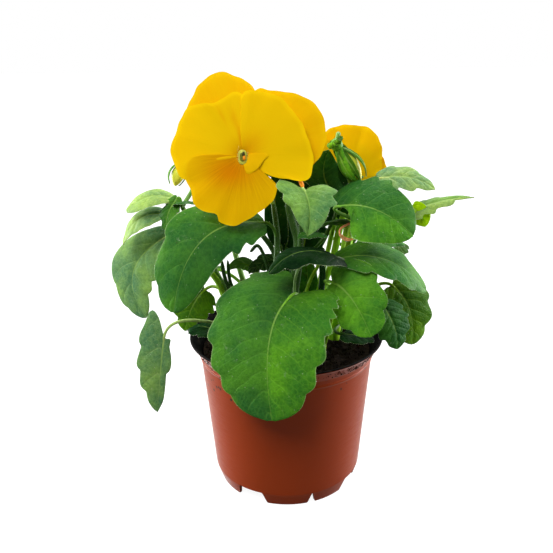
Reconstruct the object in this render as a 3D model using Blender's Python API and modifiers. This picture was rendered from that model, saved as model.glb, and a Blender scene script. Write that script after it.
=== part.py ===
"""Potted pansy planter: a yellow pansy growing in a plain round nursery pot.

Metres, +Z up, the origin on the pot's axis where it stands, -Y to the front.
The sizes and points named below are millimetres; MM takes them to metres.
"""
import math
from collections import namedtuple

import bmesh
import bpy
from mathutils import Matrix, Vector, noise

MM = 0.001
NAME = "potted_pansy_planter"

# Pot: outside radii and heights of the feet, the wall, the bead and the flared lip.
WALL = 1.1
FOOT_R = 38.5
WALL_FOOT_R = 41.0
FOOT_H = 7.5
FLOOR_Z = 8.9
BEAD_R = 46.7
BEAD_Z = 73.0
BEAD = 0.6
LIP_R = 47.6
LIP_Z = 76.5
RIM_R = 52.5
RIM_Z = 84.0
POT_SIDES = 48
# The skirt under the wall is cut into feet, alike on its four quarters.
QUARTERS = 4
FOOT_CUTS = [(19.0, 1.4), (60.5, 15.5)]
FOOT_CUT_DEPTH = 12.0
DRAINS = 8
DRAIN_R = 3.5
DRAIN_RING = 27.0

# Soil
GAP = 0.3
HOLE_GAP = 0.4
SOIL_Z = 75.5
SOIL_MOUND = 2.0
SOIL_ROUGH = 1.0
SOIL_SIDES = 36
SOIL_RINGS = 5
STEM_FOOT_Z = 58.0
STEM_R = 1.8
STEM_TOP_R = 1.3

# Blades and stalks. A blade wider than WIDE_LEAF is split finer across.
BLADE = 0.7
NOTCH = 2.2
SKEW = 1.5
WIDE_LEAF = 22.0
TIP_ROW = 0.97
PETIOLE_R = 1.0
PETIOLE_TOP_R = 0.8
PEDICEL_R = 1.1

# Blooms and buds. The cup that carries a bloom lies CALYX_BACK behind its throat.
CALYX_BACK = 8.6
CALYX_R = 2.2
SEPAL_LENGTH = 15.0
SEPAL_WIDTH = 5.0
SEPAL_TURNS = [0, 65, 130, 230, 295]
THROAT_R = 3.0
THROAT_BACK = 2.2
SPUR = [(0, -1.5, -2), (0, -5, -6), (0, -6, -13)]
SPUR_R = 1.8
SPUR_TIP_R = 1.3
RUFFLE = 0.9
CLAW_DEPTH = 2.5
BUD_SEPALS = 4
BUD_SEPAL_OUT = 1.6
BUD_SEPAL_TIP_OUT = 0.6

Leaf = namedtuple("Leaf", "root base middle tip width roll teeth heart start widest point fold droop side")
Leaf.__new__.__defaults__ = (0, 4, 0.06, 0.4, 0.36, 0.75, 0.05, 0.15, None)
Bloom = namedtuple("Bloom", "throat facing scale pedicel")
Petal = namedtuple("Petal", "turn length width depth lean")
Bud = namedtuple("Bud", "top tip radius pedicel")

# Petals by their turn in degrees from the bloom's top, clockwise from the front.
PETALS = [
    Petal(-20, 38.5, 34, -2.6, 0.10),
    Petal(69.5, 40, 40, -3.6, 0.12),
    Petal(-68, 33, 40, -1.4, 0.06),
    Petal(68, 33, 45, -0.4, 0.05),
    Petal(197, 31.5, 44, 0.5, 0.02),
]

BLOOMS = {
    "bloom_front": Bloom((-19, -30, 185), (0.02, -0.97, 0.2), 1.0,
                         [(-6, -13, 158), (-10, -10, 175), (-15, -9, 189), (-18, -14, 192)]),
    "bloom_rear": Bloom((34, 30, 161), (0.35, 0.9, 0.15), 0.88,
                        [(10, 22, 140), (14, 22, 148), (20, 21, 155), (26, 22, 158.5)]),
}
BUDS = {
    "bud_right": Bud((29, -1, 187), (37, 0, 166), 4.8,
                     [(36, -3, 158), (30, -6, 168), (24, -5, 177), (23, -3, 185), (26, -2, 189.5)]),
    "bud_left": Bud((-52, 3, 178), (-56, 0, 165), 3.4,
                    [(-53, 2, 154), (-47, 6, 164), (-46, 6, 174), (-49, 5, 180)]),
}

# Leafy shoots. Each stem stands in its own hole in the soil and carries its leaves, and the
# stalks of the blooms and buds named with it.
SHOOTS = {
    "shoot_left": {
        "stem": [(-20, -6, STEM_FOOT_Z), (-20, -6, 80), (-26, -6, 98), (-37, -5, 121), (-47, -2, 142),
                 (-54, 1, 156)],
        "carries": ["bud_left"],
        "leaves": [
            Leaf((-53, 1, 154), (-57, 4, 157), (-70, 4, 159), (-82.5, 2, 151.5), 22, -14,
                 heart=0, start=0.2, widest=0.65, point=0.5),
            Leaf((-51, 0, 150), (-62, 2, 151), (-78, 2, 148), (-86, 0, 134), 18, -5, heart=0, start=0.25),
            Leaf((-46, -2, 140), (-61, 6, 138), (-82, 4, 118), (-77, 0, 95), 30, -35, 5,
                 heart=0, start=0.2, widest=0.5, point=0.55),
            Leaf((-31, -6, 108), (-44, 4, 107), (-51, 2, 98), (-55, -3, 86), 24, -50),
            Leaf((-44, -3, 135), (-42, -4, 156), (-50, -5, 158), (-57, -4, 156), 18, 10),
            Leaf((-53, 0, 153), (-55, -2, 159), (-60, -5, 151), (-60, -8, 143), 14, 0, 3),
        ],
    },
    "shoot_front_left": {
        "stem": [(-8, -14, STEM_FOOT_Z), (-8, -14, 80), (-6, -14, 110), (-4, -14, 140), (-6, -13, 160)],
        "carries": ["bloom_front"],
        "leaves": [
            Leaf((-4, -14, 140), (-10, -18, 150), (-39, -34, 146), (-53, -46, 114), 43, -35, 5,
                 heart=0, start=0.25, point=0.5),
        ],
    },
    "shoot_front": {
        "stem": [(4, -20, STEM_FOOT_Z), (4, -20, 80), (4, -20, 105), (7, -20, 130), (8, -21, 155)],
        "carries": [],
        "leaves": [
            Leaf((4, -20, 100), (2, -40, 120), (-10, -57, 103), (-8, -65, 67), 62, 0, 5,
                 heart=0.2, start=0.55, widest=0.42, point=0.42),
            Leaf((8, -21, 153), (9, -34, 169), (11, -46, 163), (10, -54, 153), 31, -12, 3,
                 start=0.6, widest=0.2, point=1.0, fold=0.5),
            Leaf((7, -20, 132), (18, -20, 144.5), (12, -24, 146), (6, -27, 144.5), 14, 0, 3),
        ],
    },
    "shoot_right": {
        "stem": [(20, -8, STEM_FOOT_Z), (20, -8, 80), (26, -7, 105), (31, -6, 128), (35, -5, 150),
                 (37, -3, 160)],
        "carries": ["bud_right"],
        "leaves": [
            Leaf((35, -5, 148), (26, -15, 157), (43, -26, 158), (61, -30, 146), 43, 35, start=0.3, point=0.6),
            Leaf((31, -6, 125), (24, -20, 131), (49, -22, 132), (71, -20, 115), 31, 15, 5,
                 heart=0, start=0.2, widest=0.55, point=0.5),
            Leaf((27, -7, 110), (23, -28, 122), (32, -36, 116), (41, -42, 99), 34, 60,
                 start=0.55, point=0.55),
            Leaf((37, -3, 158), (48, -6, 169), (62, -6, 169.5), (75, -7, 163.5), 22, 25),
            Leaf((36, -4, 155), (63, -7, 152), (78, -9, 158), (94, -10, 160), 24, 15, 5,
                 start=0.9, widest=0.15, point=1.3, fold=0, droop=0.3),
            Leaf((31, -6, 126), (25, -26, 136), (7, -38, 143), (-8, -44, 135), 26, 0),
            Leaf((37, -3, 156), (25, 2, 160), (22, 1, 168), (20, 0, 178), 18),
        ],
    },
    "shoot_right_low": {
        "stem": [(28, 4, STEM_FOOT_Z), (28, 4, 80), (36, 2, 96), (46, 0, 110)],
        "carries": [],
        "leaves": [
            Leaf((45, 0, 108), (57, 0, 110), (66, -5, 98), (68, -8, 79), 34, 25, point=0.55),
            Leaf((38, 2, 100), (50, -12, 104), (56, -18, 94), (58, -20, 82), 26, 10),
            Leaf((32, 3, 88), (30, -20, 91), (38, -22, 91), (45, -20, 89), 20, 0, 3),
        ],
    },
    "shoot_left_low": {
        "stem": [(-28, -10, STEM_FOOT_Z), (-28, -10, 80), (-33, -14, 95)],
        "carries": [],
        "leaves": [
            Leaf((-33, -14, 94), (-67, -16, 94), (-71.8, -22, 74), (-70, -22, 47), 20, 0, start=0.55),
            Leaf((-30, -11, 86), (-36, -18, 92), (-44, -13, 93), (-51, -8, 90), 22, 0, 3),
        ],
    },
    "shoot_back_left": {
        "stem": [(-16, 12, STEM_FOOT_Z), (-16, 12, 80), (-22, 18, 100), (-28, 24, 120), (-32, 27, 138)],
        "carries": [],
        "leaves": [
            Leaf((-31, 27, 136), (-42, 34, 135), (-55, 42, 132), (-64, 48, 118), 30),
            Leaf((-28, 24, 122), (-30, 42, 128), (-30, 55, 126), (-32, 67, 112), 32, 0, 5),
            Leaf((-22, 18, 102), (-40, 24, 112), (-52, 30, 106), (-60, 34, 92), 28),
            Leaf((-18, 14, 90), (-23, 40, 94), (-25, 55, 90), (-27, 67, 76), 30, 0, 5, start=0.55),
        ],
    },
    "shoot_back": {
        "stem": [(4, 16, STEM_FOOT_Z), (4, 16, 80), (4, 22, 104), (6, 25, 126), (10, 22, 142)],
        "carries": ["bloom_rear"],
        "leaves": [
            Leaf((9, 23, 138), (-6, 34, 156), (-16, 43, 158), (-28, 50, 147), 28),
            Leaf((7, 25, 130), (6, 40, 139), (7, 52, 137), (9, 63, 123), 26),
            Leaf((4, 18, 90), (4, 34, 98), (4, 47, 94), (2, 60, 80), 28, start=0.55),
        ],
    },
    "shoot_back_right": {
        "stem": [(20, 14, STEM_FOOT_Z), (20, 14, 80), (28, 18, 98), (34, 20, 112), (37, 21, 122)],
        "carries": [],
        "leaves": [
            Leaf((37, 21, 121), (46, 26, 125), (60, 36, 126), (71, 44, 114), 30),
            Leaf((32, 19, 108), (38, 34, 114), (46, 46, 112), (54, 56, 98), 32, 0, 5),
            Leaf((24, 16, 90), (28, 34, 95), (33, 46, 92), (38, 57, 78), 30, start=0.55),
        ],
    },
}


# ---------------------------------------------------------------- helpers

def clear_scene():
    for old in list(bpy.data.objects):
        bpy.data.objects.remove(old)


def new_collection(name):
    group = bpy.data.collections.new(name)
    bpy.context.scene.collection.children.link(group)
    return group


def material(name, colour, roughness):
    mat = bpy.data.materials.new(name)
    mat.use_nodes = True
    shader = mat.node_tree.nodes["Principled BSDF"]
    shader.inputs["Base Color"].default_value = (*colour, 1.0)
    shader.inputs["Roughness"].default_value = roughness
    return mat


def add_object(name, mesh, group, mat=None):
    obj = bpy.data.objects.new(name, mesh)
    group.objects.link(obj)
    if mat:
        obj.data.materials.append(mat)
    return obj


def from_bmesh(name, bm, group, mat=None):
    mesh = bpy.data.meshes.new(name)
    bm.to_mesh(mesh)
    bm.free()
    return add_object(name, mesh, group, mat)


def evaluated_mesh(obj):
    graph = bpy.context.evaluated_depsgraph_get()
    return bpy.data.meshes.new_from_object(obj.evaluated_get(graph))


def apply_modifiers(obj):
    mesh = evaluated_mesh(obj)
    obj.modifiers.clear()
    obj.data = mesh


def boolean(obj, operation, others, group):
    """Cuts or joins the other objects, which are used up."""
    spare = new_collection(obj.name + "_" + operation.lower())
    for other in others:
        group.objects.unlink(other)
        spare.objects.link(other)
    step = obj.modifiers.new(operation, "BOOLEAN")
    step.operation = operation
    step.operand_type = "COLLECTION"
    step.collection = spare
    step.solver = "MANIFOLD"
    apply_modifiers(obj)
    for other in others:
        bpy.data.objects.remove(other)
    bpy.data.collections.remove(spare)


def fuse(name, pieces, group, mat):
    """One closed solid out of overlapping pieces."""
    whole = pieces[0]
    whole.name = name
    boolean(whole, "UNION", pieces[1:], group)
    whole.data.materials.clear()
    whole.data.materials.append(mat)
    return whole


def turned(name, profile, steps, group, mat):
    """A closed solid turned from (radius, height) points that start and end on the axis."""
    bm = bmesh.new()
    points = [bm.verts.new((r * MM, 0, z * MM)) for r, z in profile]
    for a, b in zip(points, points[1:]):
        bm.edges.new((a, b))
    obj = from_bmesh(name, bm, group, mat)
    turn = obj.modifiers.new("turn", "SCREW")
    turn.steps = turn.render_steps = steps
    turn.use_merge_vertices = True
    turn.merge_threshold = 0.00005
    apply_modifiers(obj)
    bm = bmesh.new()
    bm.from_mesh(obj.data)
    bmesh.ops.recalc_face_normals(bm, faces=bm.faces)
    bm.to_mesh(obj.data)
    bm.free()
    return obj


def upright_bar(name, x, y, low, high, radius, sides, group):
    bm = bmesh.new()
    place = Matrix.Translation(Vector((x, y, (low + high) / 2)) * MM)
    bmesh.ops.create_cone(bm, cap_ends=True, segments=sides, radius1=radius * MM, radius2=radius * MM,
                          depth=(high - low) * MM, matrix=place)
    return from_bmesh(name, bm, group)


def ball(name, centre, radius, group, stretch=None):
    bm = bmesh.new()
    bmesh.ops.create_uvsphere(bm, u_segments=8, v_segments=6, radius=radius * MM)
    if stretch:
        bmesh.ops.transform(bm, matrix=stretch, verts=bm.verts)
    bmesh.ops.translate(bm, vec=Vector(centre) * MM, verts=bm.verts)
    return from_bmesh(name, bm, group)


def smooth(points, steps):
    """Points on a Catmull-Rom curve through the given ones."""
    knots = [Vector(p) for p in points]
    knots = [2 * knots[0] - knots[1]] + knots + [2 * knots[-1] - knots[-2]]
    path = []
    for a, b, c, d in zip(knots, knots[1:], knots[2:], knots[3:]):
        for i in range(steps):
            t = i / steps
            path.append(0.5 * (2 * b + (c - a) * t + (2 * a - 5 * b + 4 * c - d) * t ** 2
                               + (3 * b - a - 3 * c + d) * t ** 3))
    return path + [knots[-2]]


def tube(name, path, r_start, r_end, group, fineness=1):
    """A closed round bar along a path, as a mesh."""
    curve = bpy.data.curves.new(name, "CURVE")
    curve.dimensions = "3D"
    curve.bevel_depth = 1.0 * MM
    curve.bevel_resolution = fineness
    curve.use_fill_caps = True
    line = curve.splines.new("POLY")
    line.points.add(len(path) - 1)
    for i, p in enumerate(path):
        line.points[i].co = (*(Vector(p) * MM), 1.0)
        line.points[i].radius = r_start + (r_end - r_start) * i / (len(path) - 1)
    wire = add_object(name, curve, group)
    mesh = evaluated_mesh(wire)
    bpy.data.objects.remove(wire)
    bm = bmesh.new()
    bm.from_mesh(mesh)
    bmesh.ops.remove_doubles(bm, verts=bm.verts, dist=0.01 * MM)
    return from_bmesh(name, bm, group)


# ---------------------------------------------------------------- pot and soil

def wall_inside(z):
    """The wall's inside radius at a height between the feet and the lip."""
    slope = (BEAD_R - WALL_FOOT_R) / (BEAD_Z - FOOT_H)
    return WALL_FOOT_R + slope * (z - FOOT_H) - WALL


def pot_profile():
    under = FLOOR_Z - WALL
    return [
        (0, under), (FOOT_R - 1, under), (FOOT_R - 1.6, 0), (FOOT_R, 0), (WALL_FOOT_R, FOOT_H),
        (BEAD_R - 0.1, BEAD_Z - 1), (BEAD_R + BEAD, BEAD_Z), (BEAD_R + 0.2, BEAD_Z + 1),
        (LIP_R, LIP_Z), (RIM_R - 0.9, RIM_Z - 1.6), (RIM_R, RIM_Z - 0.8), (RIM_R - 0.2, RIM_Z),
        (RIM_R - 1.4, RIM_Z - 0.2), (LIP_R - 0.4, LIP_Z + 0.6), (wall_inside(BEAD_Z), BEAD_Z),
        (wall_inside(FLOOR_Z + 1), FLOOR_Z + 1), (wall_inside(FLOOR_Z) - 1, FLOOR_Z), (0, FLOOR_Z),
    ]


def foot_cutter(angle, width, group):
    """A block that parts two feet, as wide as the gap between them."""
    bm = bmesh.new()
    bmesh.ops.create_cube(bm, size=1.0)
    place = (Matrix.Rotation(math.radians(angle - 90), 4, "Z")
             @ Matrix.Translation(Vector((FOOT_R, 0, FOOT_H / 2 - 1)) * MM)
             @ Matrix.Diagonal((FOOT_CUT_DEPTH * MM, width * MM, (FOOT_H + 1.6) * MM, 1)))
    bmesh.ops.transform(bm, matrix=place, verts=bm.verts)
    return from_bmesh("foot_cutter", bm, group)


def pot(group):
    plastic = material("terracotta_plastic", (0.28, 0.055, 0.025), 0.35)
    obj = turned("pot", pot_profile(), POT_SIDES, group, plastic)
    cutters = []
    for quarter in range(QUARTERS):
        for angle, width in FOOT_CUTS:
            cutters.append(foot_cutter(angle + quarter * 360 / QUARTERS, width, group))
    for i in range(DRAINS):
        turn = math.tau * (i + 0.5) / DRAINS
        cutters.append(upright_bar("drain", DRAIN_RING * math.cos(turn), DRAIN_RING * math.sin(turn),
                                   FLOOR_Z - 3, FLOOR_Z + 2, DRAIN_R, 10, group))
    boolean(obj, "DIFFERENCE", cutters, group)
    return obj


def soil_height(r, x, y):
    """Height of the soil: a low mound with crumbs, level where it meets the wall."""
    edge = wall_inside(SOIL_Z) - GAP
    inward = 1 - r / edge
    crumbs = noise.noise(Vector((x, y, 0)) * 0.16) + 0.5 * noise.noise(Vector((x, y, 9)) * 0.4)
    return SOIL_Z + (SOIL_MOUND * (1 - (r / edge) ** 2) + SOIL_ROUGH * crumbs * min(1, 4 * inward))


def soil(group):
    edge = wall_inside(SOIL_Z) - GAP
    foot = FLOOR_Z + GAP
    profile = [(0, foot), (wall_inside(foot) - 1 - GAP, foot), (wall_inside(foot + 1) - GAP, foot + 1)]
    profile += [(edge * i / SOIL_RINGS, SOIL_Z) for i in range(SOIL_RINGS, -1, -1)]
    obj = turned("soil", profile, SOIL_SIDES, group, material("potting_soil", (0.015, 0.011, 0.008), 0.95))
    for v in obj.data.vertices:
        x, y, z = v.co / MM
        if z > SOIL_Z - 1:
            v.co.z = soil_height(math.hypot(x, y), x, y) * MM
    holes = []
    for parts in SHOOTS.values():
        x, y, z = parts["stem"][0]
        holes.append(upright_bar("hole", x, y, z - GAP, SOIL_Z + 10, STEM_R + HOLE_GAP, 12, group))
    boolean(obj, "DIFFERENCE", holes, group)
    return obj


# ---------------------------------------------------------------- leaves

def half_width(leaf, s):
    """Half the blade's width at s along the midrib, with its rounded teeth."""
    if s < leaf.widest:
        form = leaf.start + (1 - leaf.start) * math.sqrt(1 - (1 - s / leaf.widest) ** 2)
    else:
        form = (1 - ((s - leaf.widest) / (1 - leaf.widest)) ** 2) ** leaf.point
    half = leaf.width / 2 * form
    if leaf.teeth:
        tooth = abs(math.sin(math.pi * (leaf.teeth * s % 1.0) ** SKEW)) ** 0.7
        half -= NOTCH * (1 - tooth) * min(1.0, 5 * s, 5 * (1 - s))
    return max(half, 0.0)


def midrib(leaf, s):
    """Point and direction of the midrib, a parabola through base, middle and tip."""
    base, middle, tip = Vector(leaf.base), Vector(leaf.middle), Vector(leaf.tip)
    bend = 2 * middle - (base + tip) / 2
    point = (1 - s) ** 2 * base + 2 * s * (1 - s) * bend + s ** 2 * tip
    along = (1 - s) * (bend - base) + s * (tip - bend)
    return point, along.normalized()


def blade_point(leaf, s, t):
    """Point of a blade: s runs from base to tip, t from the left edge -1 to the right edge 1."""
    point, along = midrib(leaf, s)
    chord = Vector(leaf.tip) - Vector(leaf.base)
    side = leaf.side or chord.cross(Vector((0, 0, 1))).normalized()
    side = Matrix.Rotation(math.radians(leaf.roll), 3, chord) @ side
    side = (side - along * side.dot(along)).normalized()
    up = side.cross(along)
    half = half_width(leaf, s)
    reach = abs(t)
    back = leaf.heart * chord.length * (1 - s) ** 3 * reach * (2 - reach)
    lift = half * (leaf.fold * reach - leaf.droop * reach ** 2)
    return point + side * t * half + up * lift - along * back


def sheet(name, point_at, rows, columns, thick, group):
    """A thin closed blade over a grid of points, split into triangles alike on both faces."""
    bm = bmesh.new()
    grid = [[bm.verts.new(point_at(s, t) * MM) for t in columns] for s in rows]
    for low, high in zip(grid, grid[1:]):
        for i in range(len(columns) - 1):
            bm.faces.new((low[i], low[i + 1], high[i + 1], high[i]))
    bmesh.ops.remove_doubles(bm, verts=bm.verts, dist=0.05 * MM)
    bmesh.ops.triangulate(bm, faces=bm.faces)
    obj = from_bmesh(name, bm, group)
    shell = obj.modifiers.new("thickness", "SOLIDIFY")
    shell.thickness = thick * MM
    shell.offset = 0
    apply_modifiers(obj)
    return obj


def blade(name, leaf, group):
    if leaf.teeth:
        rows = sorted([i / leaf.teeth for i in range(leaf.teeth + 1)]
                      + [(i + 0.6) / leaf.teeth for i in range(leaf.teeth)] + [TIP_ROW])
        columns = [-1, -0.5, 0, 0.5, 1] if leaf.width > WIDE_LEAF else [-1, 0, 1]
    else:
        rows = [0, 0.2, 0.45, 0.75, 1]
        columns = [-1, 0, 1]
    return sheet(name, lambda s, t: blade_point(leaf, s, t), rows, columns, BLADE, group)


def petiole_path(leaf):
    """From the stem to just inside the blade, meeting the midrib in line."""
    root, base = Vector(leaf.root), Vector(leaf.base)
    bend = base - midrib(leaf, 0)[1] * (base - root).length * 0.45
    path = [(1 - t) ** 2 * root + 2 * t * (1 - t) * bend + t ** 2 * base for t in (0, 0.3, 0.65, 1)]
    return path + [midrib(leaf, 0.12)[0]]


# ---------------------------------------------------------------- blooms and buds

def facing_frame(centre, facing, scale):
    """Axes of a bloom: X to its right as seen from its front, Y up, Z out of its face."""
    out = Vector(facing).normalized()
    right = Vector((0, 0, 1)).cross(out).normalized()
    up = out.cross(right)
    turn = Matrix((right, up, out)).transposed().to_4x4()
    return Matrix.Translation(centre) @ turn @ Matrix.Scale(scale, 4)


def petal_point(petal, s, t):
    """Point of a petal in the bloom's axes: s from the claw to the outer edge, t across."""
    widest = 0.6
    if s < widest:
        form = 0.1 + 0.9 * (1 - (1 - s / widest) ** 2)
    else:
        form = math.sqrt(max(0, 1 - ((s - widest) / (1 - widest)) ** 2))
    along = petal.length * (s + 0.04)
    across = petal.width / 2 * form * t
    ruffle = RUFFLE * s ** 2 * math.sin(2.6 * math.pi * t + petal.turn)
    out = petal.depth - petal.lean * petal.length * s ** 2 - 0.06 * abs(across) * abs(t) + ruffle
    out -= CLAW_DEPTH * math.exp(-s / 0.08)
    turn = math.radians(petal.turn)
    return Vector((along * math.sin(turn) + across * math.cos(turn),
                   along * math.cos(turn) - across * math.sin(turn), out))


def bloom(name, parts, group, mat):
    """Five petals fused at the throat, with the spur behind them."""
    frame = facing_frame(parts.throat, parts.facing, parts.scale)
    pieces = [ball(name + "_throat", frame @ Vector((0, 0, -THROAT_BACK)), THROAT_R * parts.scale, group)]
    spur = [frame @ Vector(p) for p in SPUR]
    pieces.append(tube(name + "_spur", spur, SPUR_R * parts.scale, SPUR_TIP_R * parts.scale, group))
    rows = [0, 0.15, 0.35, 0.6, 0.82, 0.95, 1]
    columns = [-1, -0.6, 0, 0.6, 1]
    for petal in PETALS:
        pieces.append(sheet(name + "_petal", lambda s, t: frame @ petal_point(petal, s, t),
                            rows, columns, BLADE, group))
    return fuse(name, pieces, group, mat)


def calyx(parts, group):
    """The green cup behind a bloom: its stalk, receptacle and five sepals."""
    frame = facing_frame(parts.throat, parts.facing, parts.scale)
    centre = frame @ Vector((0, 0, -CALYX_BACK))
    pieces = [ball("receptacle", centre, CALYX_R, group)]
    pieces.append(tube("pedicel", smooth(parts.pedicel + [centre], 2), PEDICEL_R, PEDICEL_R, group))
    for turn in SEPAL_TURNS:
        angle = math.radians(turn)
        ray = Vector((math.sin(angle), math.cos(angle), 0))
        across = frame.to_3x3() @ Vector((ray.y, -ray.x, 0))
        base, middle, tip = [frame @ (ray * reach - Vector((0, 0, back))) for reach, back in
                             ((1, CALYX_BACK), (SEPAL_LENGTH / 2 + 0.5, 7), (SEPAL_LENGTH, 7.5))]
        sepal = Leaf(None, base, middle, tip, SEPAL_WIDTH * parts.scale, teeth=0, heart=0,
                     side=across.normalized())
        pieces.append(blade("sepal", sepal, group))
    return pieces


def bud_petals(name, parts, group, mat):
    """The closed petals of a bud, a plump spindle that hangs in its cup of sepals."""
    top, tip = Vector(parts.top), Vector(parts.tip)
    axis = (tip - top).normalized()
    half = ((tip - top).length - CALYX_R - GAP) / 2
    frame = axis.to_track_quat("Z", "Y").to_matrix().to_4x4()
    stretch = frame @ Matrix.Diagonal((1, 1, half / parts.radius, 1))
    obj = ball(name, tip - axis * half, parts.radius, group, stretch)
    obj.data.materials.append(mat)
    return obj


def bud_calyx(parts, group):
    """The bud's stalk, the cup at its top and the sepals that lie round its petals."""
    top = Vector(parts.top)
    axis = (Vector(parts.tip) - top).normalized()
    length = (Vector(parts.tip) - top).length
    side = axis.orthogonal().normalized()
    pieces = [ball("cup", top, CALYX_R, group)]
    pieces.append(tube("pedicel", smooth(parts.pedicel + [top], 2), PEDICEL_R, PEDICEL_R, group))
    for i in range(BUD_SEPALS):
        ray = Matrix.Rotation(math.tau * i / BUD_SEPALS, 3, axis) @ side
        middle = top + axis * length * 0.5 + ray * (parts.radius + BUD_SEPAL_OUT)
        tip = top + axis * length * 0.95 + ray * (parts.radius + BUD_SEPAL_TIP_OUT)
        sepal = Leaf(None, top + ray, middle, tip, parts.radius * 1.3, teeth=0, heart=0, side=ray.cross(axis))
        pieces.append(blade("sepal", sepal, group))
    return pieces


def shoot(name, parts, group, mat):
    """A stem with its leaves and the green parts of its blooms and buds, fused."""
    path = [Vector(parts["stem"][0])] + smooth(parts["stem"][1:], 2)
    pieces = [tube(name, path, STEM_R, STEM_TOP_R, group, 2)]
    for leaf in parts["leaves"]:
        pieces.append(tube("petiole", petiole_path(leaf), PETIOLE_R, PETIOLE_TOP_R, group))
        pieces.append(blade("blade", leaf, group))
    for carried in parts["carries"]:
        pieces += calyx(BLOOMS[carried], group) if carried in BLOOMS else bud_calyx(BUDS[carried], group)
    return fuse(name, pieces, group, mat)


def main():
    clear_scene()
    group = new_collection(NAME)
    pot(group)
    soil(group)
    green = material("leaf_green", (0.06, 0.2, 0.03), 0.5)
    yellow = material("petal_yellow", (0.85, 0.55, 0.0), 0.5)
    unripe = material("bud_yellow_green", (0.4, 0.5, 0.05), 0.5)
    for name, parts in SHOOTS.items():
        shoot(name, parts, group, green)
    for name, parts in BLOOMS.items():
        bloom(name, parts, group, yellow)
    for name, parts in BUDS.items():
        bud_petals(name, parts, group, unripe)


main()
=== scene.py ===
"""Looks of the potted pansy planter: a yellow pansy in a plain round nursery pot.

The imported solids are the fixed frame. Every piece that shows is worked out here on that frame,
and stands for the plainer solid of the same name. Sizes and places are millimetres; MM takes
them to metres.
"""
import math
from collections import namedtuple

import bmesh
import bpy
import numpy as np
from mathutils import Matrix, Vector


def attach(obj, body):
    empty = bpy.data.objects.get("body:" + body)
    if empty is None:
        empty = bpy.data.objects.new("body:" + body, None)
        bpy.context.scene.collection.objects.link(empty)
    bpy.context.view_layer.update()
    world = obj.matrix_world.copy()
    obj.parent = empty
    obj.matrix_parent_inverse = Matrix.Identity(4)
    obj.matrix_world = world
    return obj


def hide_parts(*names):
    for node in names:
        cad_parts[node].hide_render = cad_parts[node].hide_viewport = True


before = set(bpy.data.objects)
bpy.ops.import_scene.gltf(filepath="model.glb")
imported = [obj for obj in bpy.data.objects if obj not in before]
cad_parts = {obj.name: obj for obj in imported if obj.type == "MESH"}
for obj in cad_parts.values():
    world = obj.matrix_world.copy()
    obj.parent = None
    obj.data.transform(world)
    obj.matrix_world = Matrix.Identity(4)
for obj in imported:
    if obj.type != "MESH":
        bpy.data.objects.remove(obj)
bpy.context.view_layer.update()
scene = bpy.context.scene
MM = 0.001

# ---------------------------------------------------------------- view, light and floor
# The camera looks down a little on the front, from arm's length. The plant stands on a white
# floor in a white room: the light comes softly from above and from behind, and less from the front.
EYE = (0.0, -340.0, 233.0)
EYE_TILT = 0.3321
EYE_TURN = 0.0142
EYE_ROLL = -0.0141
SENSOR = 36.0
LENS = 43.94
NEAREST = 0.01
ROOM_LIGHT = 1.35
ROOM_LEAST = 0.04
WHITE = (1, 1, 1, 1)
LIGHT_AIM = (0, 0, 80)
LAMPS = {  # place, side and power
    "front_key": ((-260, -520, 800), 420, 8.0),
    "back_glow": ((150, 520, 700), 500, 6.0),
    "left_glow": ((-620, 260, 120), 520, 13.0),
    "right_glow": ((620, 260, 120), 520, 13.0),
}
FLOOR_HALF = 6000
FLOOR_DROP = 0.2
FLOOR_TONE = (0.16, 0.16, 0.16, 1)
FLOOR_GLOW = 0.92

camera = bpy.data.objects.new("camera", bpy.data.cameras.new("camera"))
scene.collection.objects.link(camera)
camera.data.sensor_width = SENSOR
camera.data.lens = LENS
camera.data.clip_start = NEAREST
camera.matrix_world = (Matrix.Translation(Vector(EYE) * MM) @ Matrix.Rotation(EYE_TURN, 4, "Z")
                       @ Matrix.Rotation(math.pi / 2 - EYE_TILT, 4, "X")
                       @ Matrix.Rotation(EYE_ROLL, 4, "Z"))
scene.camera = camera
scene.view_settings.view_transform = "Standard"


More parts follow.
